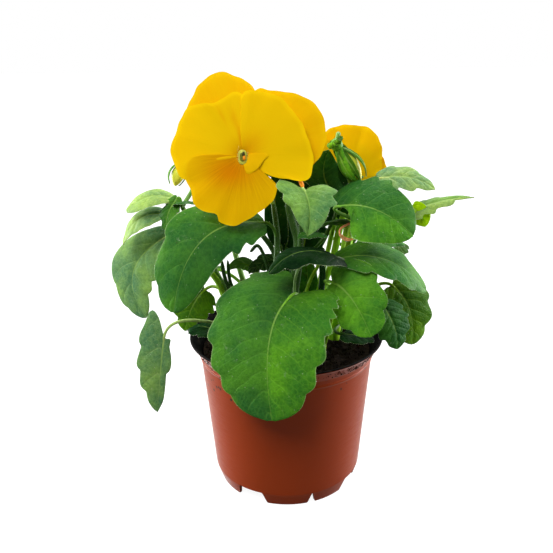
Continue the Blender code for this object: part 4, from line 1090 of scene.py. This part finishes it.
def leaf_look():
    """A node group that paints a blade: veins, a fine net, a pale rim, mottling, dust and the paler
    underside. It gives a colour, a height and a roughness."""
    group, wiring = new_group("leaf_look", ("Colour", "Height", "Roughness"))
    maths, ease, blend = wiring.maths, wiring.ease, wiring.blend
    tint = wiring.place("Attribute", attribute_name="tint").outputs["Color"]
    across, along, phase = wiring.split(wiring.attribute("blade"))
    from_rib, spacing, shown = wiring.split(wiring.attribute("measure"))
    where = wiring.where()
    reach = maths("ABSOLUTE", across)
    # side veins, thin towards the margin, and the midrib, thick at the base
    wander = maths("MULTIPLY", maths("SUBTRACT", wiring.noise(where, 160.0, 2.0, 0.55), 0.5), 0.16)
    bent = maths("ADD", phase, wander)
    near = maths("MULTIPLY", maths("PINGPONG", bent, 0.5), spacing)
    vein = ease(maths("DIVIDE", near, ease(reach, 0.1, 1.0, 0.62, 0.26)), 0.3, 1.0, 1.0, 0.0)
    vein = maths("MULTIPLY", vein, ease(reach, 0.55, 0.98, 1.0, 0.15))
    half = maths("PINGPONG", maths("ADD", bent, 0.5), 0.5)
    small = ease(maths("MULTIPLY", half, spacing), 0.05, 0.42, 0.45, 0.0)
    small = maths("MULTIPLY", small, ease(reach, 0.15, 0.4))
    rib = ease(maths("DIVIDE", from_rib, ease(along, 0.0, 1.0, 0.7, 0.16)), 0.4, 1.0, 1.0, 0.0)
    lines = maths("MAXIMUM", maths("MAXIMUM", vein, rib), small, clamp=True)
    cells = wiring.place("TexVoronoi", {"Vector": where, "Scale": 420.0}, feature="DISTANCE_TO_EDGE")
    net = ease(cells.outputs["Distance"], 0.02, 0.14, 1.0, 0.0)
    # mottling and a fine grain, with pale lines, midrib and rim over them
    mottle = wiring.noise(where, 45.0, 4.0, 0.6)
    fine = wiring.noise(where, 600.0, 3.0, 0.7)
    deep = blend(ease(mottle, 0.34, 0.66), (0.50, 0.66, 0.90, 1), (1.34, 1.20, 0.80, 1))
    grain = blend(ease(fine, 0.3, 0.7), (0.78, 0.82, 0.8, 1), (1.2, 1.14, 1.2, 1))
    light = blend(1.0, tint, (2.3, 1.65, 2.0, 1), "MULTIPLY")
    paint = blend(1.0, blend(1.0, tint, deep, "MULTIPLY"), grain, "MULTIPLY")
    paint = blend(maths("MULTIPLY", net, 0.12), paint, light)
    paint = blend(maths("MULTIPLY", lines, 0.24), paint, light)
    paint = blend(maths("MULTIPLY", rib, ease(along, 0.1, 0.9, 0.62, 0.3)), paint, (0.25, 0.42, 0.09, 1.0))
    paint = blend(maths("MULTIPLY", ease(reach, 0.975, 0.998), 0.4), paint, (0.40, 0.52, 0.22, 1.0))
    # dust and dried drops: few small pale dots, a thin pale film, and rarer brown dots
    dots = wiring.place("TexVoronoi", {"Vector": where, "Scale": 520.0})
    chance = wiring.place("SeparateColor", {0: dots.outputs["Color"]}).outputs
    dot = ease(dots.outputs["Distance"], 0.05, 0.16, 1.0, 0.0)
    white = maths("MULTIPLY", maths("MULTIPLY", dot, ease(chance[0], 0.72, 0.76)), shown)
    brown = maths("MULTIPLY", maths("MULTIPLY", dot, ease(chance[1], 0.965, 0.975)), shown)
    film = ease(wiring.noise(where, 260.0, 6.0, 0.8), 0.56, 0.74, 0.0, 0.3)
    film = maths("MULTIPLY", film, ease(wiring.noise(where, 38.0, 2.0, 0.55), 0.45, 0.62))
    paint = blend(maths("MULTIPLY", white, 0.55), paint, (0.5, 0.55, 0.42, 1.0))
    paint = blend(maths("MULTIPLY", film, shown), paint, (0.45, 0.56, 0.36, 1.0))
    paint = blend(maths("MULTIPLY", brown, 0.8), paint, (0.06, 0.035, 0.012, 1.0))
    # the underside is paler and greyer
    pale = blend(0.5, tint, (0.17, 0.27, 0.11, 1.0))
    pale = blend(maths("MULTIPLY", lines, 0.6), pale, (0.32, 0.42, 0.2, 1.0))
    relief = maths("SUBTRACT", maths("MULTIPLY", fine, 0.35), maths("MULTIPLY", net, 0.5))
    relief = maths("SUBTRACT", relief, maths("MULTIPLY", lines, 0.9))
    wiring.place("NodeGroupOutput", {"Colour": blend(shown, pale, paint), "Height": relief,
                                     "Roughness": ease(mottle, 0.3, 0.7, 0.5, 0.36)})
    return group


def blade_material():
    """Leaf tissue: the painted skin over tissue that lets some yellow-green light through."""
    material, wiring = new_material("leaf_blade")
    look = wiring.place("Group", node_tree=leaf_look()).outputs
    wiring.surface({"Base Color": look["Colour"], "Roughness": look["Roughness"], "Specular IOR Level": 0.02,
                    "Normal": wiring.bump(look["Height"], 0.5, 0.0003)})
    wiring.let_light_through(wiring.blend(1.0, look["Colour"], (2.2, 1.9, 0.6, 1), "MULTIPLY"), 0.22)
    return material


def stem_material():
    """Juicy green stem skin with long pale streaks and a soft gloss."""
    material, wiring = new_material("stem_skin")
    streak = wiring.noise(wiring.stretched(wiring.where(), (1, 1, 0.12)), 900.0)
    tone = wiring.ramp(streak, 0.3, 0.7, 0.75, 1.25)
    wiring.surface({"Base Color": wiring.shaded(wiring.attribute("tint"), tone), "Roughness": 0.45,
                    "Specular IOR Level": 0.12, "Normal": wiring.bump(streak, 0.3, 0.0002)})
    return material


LEAF_MATERIALS = [blade_material(), stem_material(), grainy_material("plant_hair", (0.72, 0.78, 0.66), 0.6)]


def add_margin_hairs(build, middle, random_seed, seed):
    """Adds hairs at random places on both margins of a blade."""
    rng = np.random.default_rng(random_seed)
    row = rng.integers(2, LEAF_ROWS - 2, MARGIN_HAIRS)
    left = rng.integers(0, 2, MARGIN_HAIRS) == 0
    edge = middle[row, np.where(left, 0, LEAF_COLUMNS - 1)]
    inner = middle[row, np.where(left, 1, LEAF_COLUMNS - 2)]
    add_hairs(build, edge, unit(edge - inner), MARGIN_HAIR, seed)


def make_shoot(name, parts, seed):
    """One leafy shoot as one piece: its stem, its further stems, and its leaves with their stalks. A
    stem's free end is rounded off."""
    build = Build()
    stem = [parts["stem"][0], *spline(parts["stem"][1:], 10)]
    thick = np.linspace(STEM_R, STEM_TOP_R, len(stem))
    thick[-len(ROUND_END):] *= ROUND_END
    hairy_tube(build, stem, thick, parts.get("stalk", STALK), STEM_HAIRS, seed)
    for points, radius, tint in parts.get("extra", []):
        path = spline(points, 10)
        thick = np.full(len(path), radius)
        thick[:len(ROUND_END)] *= ROUND_END[::-1]
        hairy_tube(build, path, thick, tint, EXTRA_HAIRS, seed)
    for number, leaf in enumerate(parts["leaves"]):
        middle = add_blade(build, leaf, seed + number)
        add_stalk(build, leaf)
        add_margin_hairs(build, middle, seed * 31 + number, seed * 17 + number)
    piece = build.piece(name + "_leaves", LEAF_MATERIALS)
    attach(piece, "root")
    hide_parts(name)


for number, (name, parts) in enumerate(SHOOTS.items()):
    make_shoot(name, parts, 10 * number + 3)

# ---------------------------------------------------------------- open blooms
# Two large pansy blooms. Each has five soft velvety petals, broad and wavy, that overlap round a small
# throat: two behind at the top, one at each side, and a lip below. Behind them are a spur and a green
# cup of five pointed sepals on a hooked stalk.
PETAL = 0.35
PETAL_ROWS = 48
PETAL_COLUMNS = 81
CLAW = 1.3
CLAW_DIVE = 1.9
CALYX_BACK = 8.6
CALYX_R = 2.2
SEPAL_LENGTH = 15
SEPAL_WIDTH = 5
SEPAL_LINE = ((1, -CALYX_BACK), (8, -7), (SEPAL_LENGTH, -7.5))  # reach and outward place of three points
SEPAL_TURNS = [0, 65, 130, 230, 295]
SEPAL_ROWS = 40
SEPAL_COLUMNS = 17
PEDICEL_R = 1.1
PEDICEL_HAIRS = 260
PEDICEL_RIBS = 0.07
SPUR = [(0, -1.5, -2), (0, -5, -6), (0, -6, -13)]
SPUR_R = [1.8, 1.4, 0.9]
SPUR_STEPS = 13
SHRED_R = [1.1, 1.0, 1.3, 0.5]
BEARD = ((-1, 110), (1, 30))  # side and number of hairs
BEARD_HAIR = 0.7
BEARD_R = 0.07
SEPAL_GREEN = (0.105, 0.300, 0.014)
STALK_GREEN = (0.13, 0.29, 0.055)
RIM_SLOT, BEARD_SLOT, MOUTH_SLOT, SPUR_SLOT, HOLLOW_SLOT, STYLE_SLOT = range(1, 7)
BLOOM_SKINS = [  # name, colour and roughness, in the order of the slots
    ("throat_rim", (0.50, 0.50, 0.06), 0.6), ("beard", (0.80, 0.66, 0.20), 0.7),
    ("orange_mouth", (0.78, 0.26, 0.01), 0.6), ("spur_skin", (0.50, 0.47, 0.06), 0.6),
    ("throat_green", (0.13, 0.14, 0.01), 0.6), ("style_head", (0.035, 0.035, 0.008), 0.5)]

# A petal's margin is a row of (turn in degrees clockwise from the top, reach from the throat).
# A pleat is (turn, width, height, how far out it starts), a roll is (turn, width, height), and a crease
# shade is painted shade laid on in orange along a crease, fold or seam: (turn, width, reach, length,
# strength). Pale lifts the whole petal towards pale yellow, as painted light on a side petal turned
# from the light.
Petal = namedtuple("Petal", "margin depth lean ruffle waves pleats rolls seed kind glows pale",
                   defaults=("plain", (), 0))
PANSY = [
    Petal([(-82, 14), (-72, 24.5), (-60, 31.5), (-48, 34.2), (-38, 36), (-29, 38.5), (-16, 39.6),
           (-3.5, 36.2), (4, 33.5), (12, 30), (22, 23), (32, 13)], -2.6, 0.10, 0.5, 2.6,
          [(-24, 7, 0.4, 0.3)], [], 1),
    Petal([(-14, 12), (0, 24), (13, 31), (23, 32.4), (37.5, 36), (50.5, 40.3), (59, 41.3), (73, 40.7),
           (82, 38.9), (100, 32.1), (110, 22), (120, 12)], -3.9, 0.12, 0.5, 2.2, [(60, 7, 0.4, 0.5)], [],
          2),
    # The two side petals that follow carry painted shade along their creases and painted light over the
    # whole petal.
    Petal([(14, 9), (6, 20), (-2, 28.4), (-28, 27), (-47, 33), (-59, 32.7), (-72, 32.7), (-84.5, 33.6),
           (-92, 32.5), (-101, 31.7), (-111, 29.4), (-122, 21), (-133, 10)], -1.1, 0.045, 0.5, 2.3,
          [(-30, 7, 0.9, 0.35), (-12, 5, -0.5, 0.2), (-70, 8, 0.4, 0.3)], [], 3,
          glows=[(-7, 6, 9, 5, 0.5), (-27, 2.5, 20, 4.5, 0.3), (-13, 5, 17, 4.5, 0.35)], pale=0.5),
    Petal([(-6, 9), (-1.5, 20), (0.5, 27.5), (17, 30), (36, 31), (54, 30.5), (80, 31.2), (99, 32.8),
           (112, 31.4), (119, 23), (127, 16), (133, 9)], -0.5, 0.05, 0.5, 2.0,
          [(7, 8, 0.4, 0.1), (95, 12, -0.5, 0.3)], [(116, 10, 0.8)], 4,
          glows=[(40, 30, 8, 6, 0.25)], pale=0.5),
    Petal([(131, 9), (131, 18), (134, 21.7), (150.6, 25.2), (173.6, 28.6), (188, 32.8), (201, 32.3),
           (206, 30), (223, 32), (239, 29), (252, 28.7), (265, 26.5), (271, 19), (270, 9)], -0.05, 0.05,
          0.6, 2.6, [(196, 6, -0.6, 0.4), (228, 8, 0.6, 0.5)], [(266, 12, -0.45), (134, 12, 0.6)], 5,
          "lip"),
    Petal([(80, 3), (84, 8), (88, 11), (94, 11.6), (103, 10), (120, 9.3), (150, 9), (168, 8.5), (176, 5),
           (182, 2.5)], 0.35, 0.06, 0, 1, [(126, 24, 0.5, 0.1)], [], 6, "fold"),
    Petal([(256, 10.5), (257, 13), (260, 14.2), (264, 14), (267, 12.5), (267, 10.5)], 0.0, 0.05, 0, 1,
          [(262, 5, 0.4, 0.3)], [(260, 6, -0.4)], 7, "fold"),
]
REAR = [
    Petal([(-82, 12), (-72, 23), (-58, 27.8), (-49, 31.5), (-40, 35.3), (-33, 37.5), (-22, 38.5),
           (-13, 37.3), (0, 36.2), (10, 35.3), (19, 33.6), (28, 27), (34, 15)], -2.6, 0.03, 0.6, 2.2,
          [(-20, 6, 0.6, 0.3)], [], 11),
    Petal([(0, 14), (14, 27), (26, 30), (36, 28), (48, 24), (62, 20), (74, 11)], -3.9, 0.06, 0.6, 2, [],
          [], 12),
    Petal([(-2, 10), (-10, 22), (-30, 28), (-50, 29), (-70, 28), (-92, 28), (-108, 26), (-122, 19),
           (-134, 10)], -1.0, 0.02, 0.7, 2.2, [(-40, 8, 0.8, 0.3)], [], 13),
    Petal([(4, 9), (6, 19), (22, 24), (45, 24), (70, 22), (95, 21), (110, 19), (124, 14), (133, 9)], -0.2,
          0.05, 0.7, 2, [(50, 9, -0.7, 0.3)], [], 14),
    Petal([(130, 9), (134, 16), (150, 19), (175, 22), (200, 24), (222, 25), (240, 22), (250, 16),
           (256, 9)], 0.4, 0.02, 0.7, 2.4, [(190, 8, 0.7, 0.3)], [(190, 60, 0.8)], 15, "lip"),
]
Bloom = namedtuple("Bloom", "petals throat facing scale stalk seed shred", defaults=((),))
BLOOMS = {
    "bloom_front": Bloom(PANSY, (-19, -30, 185), (0.02, -0.97, 0.2), 1.0,
                         [(-6, -13, 158), (-10, -10, 175), (-15, -9, 189), (-18, -14, 192)], 5,
                         shred=[(6, -27.5, 176), (7.1, -28.5, 173.2), (8, -29.5, 171), (8.7, -30, 169.4)]),
    "bloom_rear": Bloom(REAR, (34, 30, 161), (0.35, 0.9, 0.15), 0.88,
                        [(10, 22, 140), (14, 22, 148), (20, 21, 155), (26, 22, 158.5)], 9),
}


def facing_frame(bloom):
    """Right, up and outward directions of a bloom, as columns."""
    out = unit(np.array(bloom.facing, float))
    right = unit(np.cross((0, 0, 1.0), out))
    return np.stack([right, np.cross(out, right), out], -1)


def placed(bloom, points):
    """Points of a bloom's own frame, taken to where it stands."""
    return np.array(bloom.throat, float) + np.asarray(points, float) * bloom.scale @ facing_frame(bloom).T


def petal_surface(petal):
    """Points of a petal in its bloom's frame: a fan from the throat to the margin that leans back with
    the square of the reach, dives at the claw, and carries waves, pleats and rolled edges. Also gives
    the turn, the reach and the share of the way to the margin at each point."""
    margin = spline(petal.margin, 12)
    steps = np.hypot(np.diff(margin[:, 0]) * 0.5, np.diff(margin[:, 1]))
    way = np.concatenate([[0], np.cumsum(steps)])
    v = np.linspace(0, 1, PETAL_COLUMNS)
    turn = np.interp(v * way[-1], way, margin[:, 0])[None, :]
    reach = np.interp(v * way[-1], way, margin[:, 1])[None, :]
    small = 0.2 * np.sin(math.tau * 7.3 * v + petal.seed)
    small = small + 0.13 * np.sin(math.tau * 13.7 * v + 2 * petal.seed)
    reach = reach + small[None, :] * smooth_step(12, 26, reach)
    u = np.linspace(0, 1, PETAL_ROWS)[:, None]
    r = CLAW + (reach - CLAW) * u
    widest = max(point[1] for point in petal.margin)
    out = petal.depth - petal.lean * r ** 2 / widest - CLAW_DIVE * np.exp(-(r - CLAW) / 2.0)
    wave = np.sin(math.tau * petal.waves * v + petal.seed)[None, :]
    out = out + petal.ruffle * (r / widest) ** 2.5 * wave
    fine_wave = np.sin(math.tau * 8.6 * v + 2 * petal.seed)[None, :]
    out = out + 0.14 * min(1, petal.ruffle * 2) * u ** 6 * fine_wave
    for where, width, height, start in petal.pleats:
        out = out + height * np.exp(-((turn - where) / width) ** 2) * smooth_step(start * 0.6, 1, r / widest)
    for where, width, height in petal.rolls:
        out = out + height * np.exp(-((turn - where) / width) ** 2) * u ** 5
    a = np.radians(turn)
    points = np.stack([r * np.sin(a), r * np.cos(a), out], -1)
    return points, np.broadcast_to(turn, r.shape), r, np.broadcast_to(u, r.shape)


def petal_marks(petal, points, turn, r, u):
    """How far each point of a petal is orange, dark-rayed and pale: bells about the throat, wider on
    the lip, painted shade in orange along creases, and a pale margin, with painted light over the side
    petals."""
    dark = 0.45 * np.exp(-((r - 5) / 3.5) ** 2)
    if petal.kind == "lip":
        x, y = points[..., 0], points[..., 1]
        heart = np.exp(-(((x + 6) / 11) ** 2 + ((y + 7) / 8) ** 2))
        dark = dark + 0.25 * np.exp(-((r - 14) / 9) ** 2)
    elif petal.kind == "fold":
        heart, dark = np.full_like(r, 0.25), np.zeros_like(r)
    else:
        heart, dark = 0.5 * np.exp(-(r / 7) ** 2), 0.25 * dark
    # Painted shade along creases, folds and the seam, laid on as orange.
    for where, width, reach, along, strength in petal.glows:
        heart = heart + strength * np.exp(-((turn - where) / width) ** 2 - ((r - reach) / along) ** 2)
    # Pale: a pale margin, a pale fold, and painted light over the side petals.
    pale = 0.4 * smooth_step(0.9, 1.0, u) + (0.3 + 0.4 * u if petal.kind == "fold" else 0) + petal.pale
    return heart, dark, pale


def petal_look():
    """A node group that paints a petal: clear yellow, an orange heart that also carries painted shade
    along creases, pale margins with painted light over the side petals, and fine rays, which are noise
    drawn out along the petal. It gives a colour and a height."""
    group, wiring = new_group("petal_look", ("Colour", "Height"))
    blend = wiring.blend
    heart, dark, pale = wiring.split(wiring.attribute("marks"))
    rays = wiring.noise(wiring.stretched(wiring.attribute("fan"), (26, 0.05, 1)), 1.0, 5.0, 0.65)
    ray = wiring.ramp(rays, 0.35, 0.65)
    cloud = wiring.noise(wiring.where(), 60.0)
    paint = blend(cloud, (0.75, 0.43, 0.001, 1.0), (0.79, 0.51, 0.001, 1.0))
    paint = blend(wiring.maths("MULTIPLY", ray, 0.3, clamp=True), paint, (0.76, 0.40, 0.0, 1.0))
    # Pale margins and folds and painted light on the side petals, then the orange heart with painted shade
    # along creases.
    paint = blend(pale, paint, (0.88, 0.61, 0.002, 1.0))
    paint = blend(heart, paint, (0.72, 0.25, 0.0, 1.0))
    paint = blend(wiring.maths("MULTIPLY", dark, ray, clamp=True), paint, (0.30, 0.07, 0.0, 1.0))
    wiring.place("NodeGroupOutput", {"Colour": paint, "Height": rays})
    return group


def petal_material():
    """Velvety petal skin over thin tissue that glows a little with light from behind."""
    material, wiring = new_material("petal")
    look = wiring.place("Group", node_tree=petal_look()).outputs
    wiring.surface({"Base Color": look["Colour"], "Roughness": 0.7, "Specular IOR Level": 0.02,
                    "Normal": wiring.bump(look["Height"], 0.35, 0.0003)})
    wiring.let_light_through(look["Colour"], 0.18)
    return material


BLOOM_MATERIALS = [petal_material(), *(grainy_material(*skin) for skin in BLOOM_SKINS)]


def add_petal(build, bloom, petal):
    """Adds a petal: a closed sheet about its surface, thinner towards the margin and the sides."""
    flat, turn, r, u = petal_surface(petal)
    middle = placed(bloom, flat)
    front = np.broadcast_to(facing_frame(bloom)[:, 2], middle.shape)
    side = 1 - np.abs(np.linspace(-1, 1, PETAL_COLUMNS)) ** 8
    thick = PETAL * (1 - 0.75 * smooth_step(0.93, 1.0, u)) * side[None, :]
    points, blocks, pick = closed_sheet(middle, front, thick)
    fan = (np.radians(turn), r, np.full_like(r, petal.seed))
    marks = petal_marks(petal, flat, turn, r, u)
    build.add(points, blocks, 0, fan=np.stack([pick(grid) for grid in fan], -1),
              marks=np.stack([pick(grid) for grid in marks], -1))


def ball(centre, reach, radius, steps):
    """A ball as a path between its poles, centre + reach * cos(a), with a radius of radius * sin(a)."""
    a = np.linspace(0, math.pi, steps)
    return np.array(centre, float) + np.cos(a)[:, None] * reach, CENTRE_R + radius * np.sin(a)


def add_throat(build, bloom):
    """Adds the throat: a pale green upright rim and an olive hollow in it, both short oval tubes, the
    dark head of the style and its orange mouth."""
    depth = np.linspace(0, 1, 9)
    angle = np.arange(24) * math.tau / 24
    oval = np.hypot(3.5 * np.sin(angle), 2.0 * np.cos(angle))[None, :]
    ring = np.interp(depth, [0, 0.15, 1], [0.55, 1.0, 0.9])[:, None]
    for size, near, far, slot in ((1.0, 0.2, -1.6, RIM_SLOT), (0.74, 0.3, -1.2, HOLLOW_SLOT)):
        path = np.stack([np.full(9, -0.2), np.full(9, -0.9), near + (far - near) * depth], -1)
        build.add(*tube(placed(bloom, path), bloom.scale * size * ring * oval, sides=24), slot)
    path, radius = ball((0.3, 0.3, 0.35), (0, 1.3, 0), 0.65, 11)
    build.add(*tube(placed(bloom, path), bloom.scale * radius, sides=20), STYLE_SLOT)
    path, radius = ball((0.6, -1.3, 0.45), (0, 1.15, 0), 0.75, 11)
    build.add(*tube(placed(bloom, path), bloom.scale * radius, sides=14), MOUTH_SLOT)


def add_beard(build, bloom):
    """Adds a tuft of short pale hairs on each side petal's claw, thicker on the left one."""
    rng = np.random.default_rng(bloom.seed)
    for way, hairs in BEARD:
        roots = rng.normal(0, 1, (hairs, 3)) * (0.3, 1.3, 0.1) + (way * 2.0, 0.1, -0.2)
        lean = np.stack([np.full(hairs, -way * 0.5), rng.normal(0.1, 0.4, hairs), np.ones(hairs)], -1)
        add_hairs(build, placed(bloom, roots), lean @ facing_frame(bloom).T, BEARD_HAIR * bloom.scale,
                  bloom.seed + way, BEARD_R, 0.3, BEARD_SLOT)


def sepal(root, middle, tip, width, side, tint, **form):
    """A narrow green blade without teeth or stalk."""
    return Leaf(root, root, middle, tip, width, teeth=0, heart=0, droop=0.0, side=tuple(side), tint=tint,
                wave=0.2, **form)


def make_petals(name, bloom):
    """The bloom's petals, throat, beard and spur as one piece, with a thin shred of petal if it has one."""
    build = Build()
    for petal in bloom.petals:
        add_petal(build, bloom, petal)
    add_throat(build, bloom)
    add_beard(build, bloom)
    if bloom.shred:
        path = spline(bloom.shred, 6)
        radius = np.interp(np.linspace(0, 3, len(path)), np.arange(4), SHRED_R)
        build.add(*tube(path, radius, flat=0.6), MOUTH_SLOT)
    radius = bloom.scale * np.interp(np.linspace(0, 1, SPUR_STEPS), [0, 0.85, 1], SPUR_R)
    build.add(*tube(placed(bloom, arc(*SPUR, SPUR_STEPS)), radius, sides=18), SPUR_SLOT)
    piece = build.piece(name + "_petals", BLOOM_MATERIALS)
    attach(piece, "root")
    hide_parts(name)


def make_cup(name, bloom):
    """The green cup behind a bloom, with its five sepals and its stalk, as one piece."""
    green = Build()
    stalk = spline([*bloom.stalk, placed(bloom, (0, 0, -CALYX_BACK))], 9)
    hairy_tube(green, stalk, PEDICEL_R, STALK_GREEN, PEDICEL_HAIRS, bloom.seed, PEDICEL_RIBS)
    path, radius = ball((0, 0, -CALYX_BACK), (0, 0, -CALYX_R), CALYX_R, 13)
    green.add(*tube(placed(bloom, path), bloom.scale * radius, sides=20), 1, tint=SEPAL_GREEN)
    for number, turn in enumerate(SEPAL_TURNS):
        ray = np.array([math.sin(math.radians(turn)), math.cos(math.radians(turn)), 0])
        ends = [placed(bloom, ray * reach + (0, 0, out)) for reach, out in SEPAL_LINE]
        side = facing_frame(bloom) @ (ray[1], -ray[0], 0)
        blade = sepal(*ends, SEPAL_WIDTH * bloom.scale, side, SEPAL_GREEN, start=0.5, widest=0.35, point=0.8,
                      fold=0.25)
        add_blade(green, blade, number, SEPAL_ROWS, SEPAL_COLUMNS)
    piece = green.piece(name + "_cup", LEAF_MATERIALS)
    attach(piece, "root")


for name, bloom in BLOOMS.items():
    make_petals(name, bloom)
    make_cup(name, bloom)

# ---------------------------------------------------------------- buds
# Two closed nodding buds, each of yellow-green petals rolled round each other, under a green cup with
# long pointed sepals, on a hooked stalk.
BUD_SIDES = 66
BUD_STEPS = 46
BUD_GREEN = (0.36, 0.48, 0.02, 1)
BUD_YELLOW = (0.72, 0.70, 0.05, 1)
BUD_LINE = (0.25, 0.33, 0.03, 1)
EAR_ROWS = 24
EAR_COLUMNS = 13

# A bud's sepals: turn about its axis, width to its radius, how far it stands off, and how light it is.
Bud = namedtuple("Bud", "top tip r stalk sepals")
BUDS = {
    "bud_right": Bud((26, -1, 185), (38.5, 0, 166.5), 4.8,
                     [(36, -3, 158), (33, 2, 167), (30, 4, 177), (27, 4, 185), (27, 2, 190)],
                     [(342, 1.0, 1.2, 0.55), (90, 1.6, 0.2, 1.0), (185, 1.2, 0.3, 0.8),
                      (238, 1.15, 0.2, 1.5), (276, 0.85, 0.2, 0.7)]),
    "bud_left": Bud((-52, 3, 178), (-56, 0, 165), 3.4,
                    [(-53, 2, 154), (-47, 6, 164), (-46, 6, 174), (-49, 5, 180)],
                    [(200, 1.0, 1.0, 1.0), (80, 1.4, 0.3, 0.8), (12, 0.9, 0.3, 0.7)]),
}


def bud_material():
    """Closed petals: yellow-green, greener towards the cup, with fine lengthwise lines."""
    material, wiring = new_material("bud_petals")
    roll = wiring.attribute("roll")
    line = wiring.noise(wiring.stretched(roll, (40, 2, 1)), 1.0, 4.0)
    tone = wiring.blend(wiring.split(roll)["Y"], BUD_GREEN, BUD_YELLOW)
    wiring.surface({"Base Color": wiring.blend(wiring.ramp(line, 0.5, 0.7, 0.0, 0.5), tone, BUD_LINE),
                    "Roughness": 0.55, "Normal": wiring.bump(line, 0.4, 0.0003)})
    return material


def make_closed_petals(name, bud, material):
    """The closed petals as one piece: a spindle whose radius is sin(pi s^0.85)^0.7, with three laps
    that wind round it."""
    top, tip = np.array(bud.top, float), np.array(bud.tip, float)
    axis, length = unit(tip - top), np.linalg.norm(tip - top)
    start = CALYX_R + GAP
    s = np.linspace(0, 1, BUD_STEPS)
    turn = np.arange(BUD_SIDES) / BUD_SIDES
    body = bud.r * np.sin(math.pi * s ** 0.85) ** 0.7
    lap = (3 * turn[None, :] + 1.1 * s[:, None]) % 1.0
    radius = np.maximum(body[:, None] * (0.9 + 0.1 * lap ** 0.5), CENTRE_R)
    points, blocks = tube(top + axis * (start + (length - start) * s)[:, None], radius, sides=BUD_SIDES)
    roll = np.zeros((len(points), 3))
    grid = np.stack(np.broadcast_arrays(turn[None, :], s[:, None], 0.0), -1)
    roll[:BUD_STEPS * BUD_SIDES] = grid.reshape(-1, 3)
    roll[-1] = (0, 1, 0)
    build = Build()
    build.add(points, blocks, 0, roll=roll)
    piece = build.piece(name + "_petals", [material])
    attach(piece, "root")
    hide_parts(name)


def make_bud_cup(name, bud):
    """The green cup over a bud, with its stalk, and for each sepal a long blade and a small ear that
    stands up beside the stalk, as one piece."""
    top, tip = np.array(bud.top, float), np.array(bud.tip, float)
    axis, length = unit(tip - top), np.linalg.norm(tip - top)
    green = Build()
    hairy_tube(green, spline([*bud.stalk, top], 9), PEDICEL_R, STALK_GREEN, PEDICEL_HAIRS, 41, PEDICEL_RIBS)
    cup = CALYX_R * (0.85 + 0.12 * bud.r)
    green.add(*tube(*ball(top, -axis * cup, cup, 13), sides=20), 1, tint=SEPAL_GREEN)
    right = unit(np.cross(axis, (0, 1.0, 0)))
    other = np.cross(right, axis)
    for number, (turn, width, out, light) in enumerate(bud.sepals):
        ray = right * math.cos(math.radians(turn)) + other * math.sin(math.radians(turn))
        side = np.cross(axis, ray)
        tint = tuple(light * np.array(SEPAL_GREEN))
        middle = top + axis * length * 0.5 + ray * (bud.r + 0.5 + out)
        end = top + axis * length * 0.98 + ray * (bud.r * 0.5 + 1.5 * out)
        blade = sepal(top, middle, end, bud.r * width, side, tint, start=0.6, widest=0.35, point=0.8,
                      fold=-0.3)
        add_blade(green, blade, number, SEPAL_ROWS, SEPAL_COLUMNS)
        middle, end = top - axis * 1.2 + ray * (cup + 0.5), top - axis * 3.2 + ray * cup * 0.7
        ear = sepal(top, middle, end, bud.r, -side, tint, start=0.6, widest=0.45, point=0.5, fold=0.2)
        add_blade(green, ear, number, EAR_ROWS, EAR_COLUMNS)
    piece = green.piece(name + "_cup", LEAF_MATERIALS)
    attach(piece, "root")


closed_petals = bud_material()
for name, bud in BUDS.items():
    make_closed_petals(name, bud, closed_petals)
    make_bud_cup(name, bud)
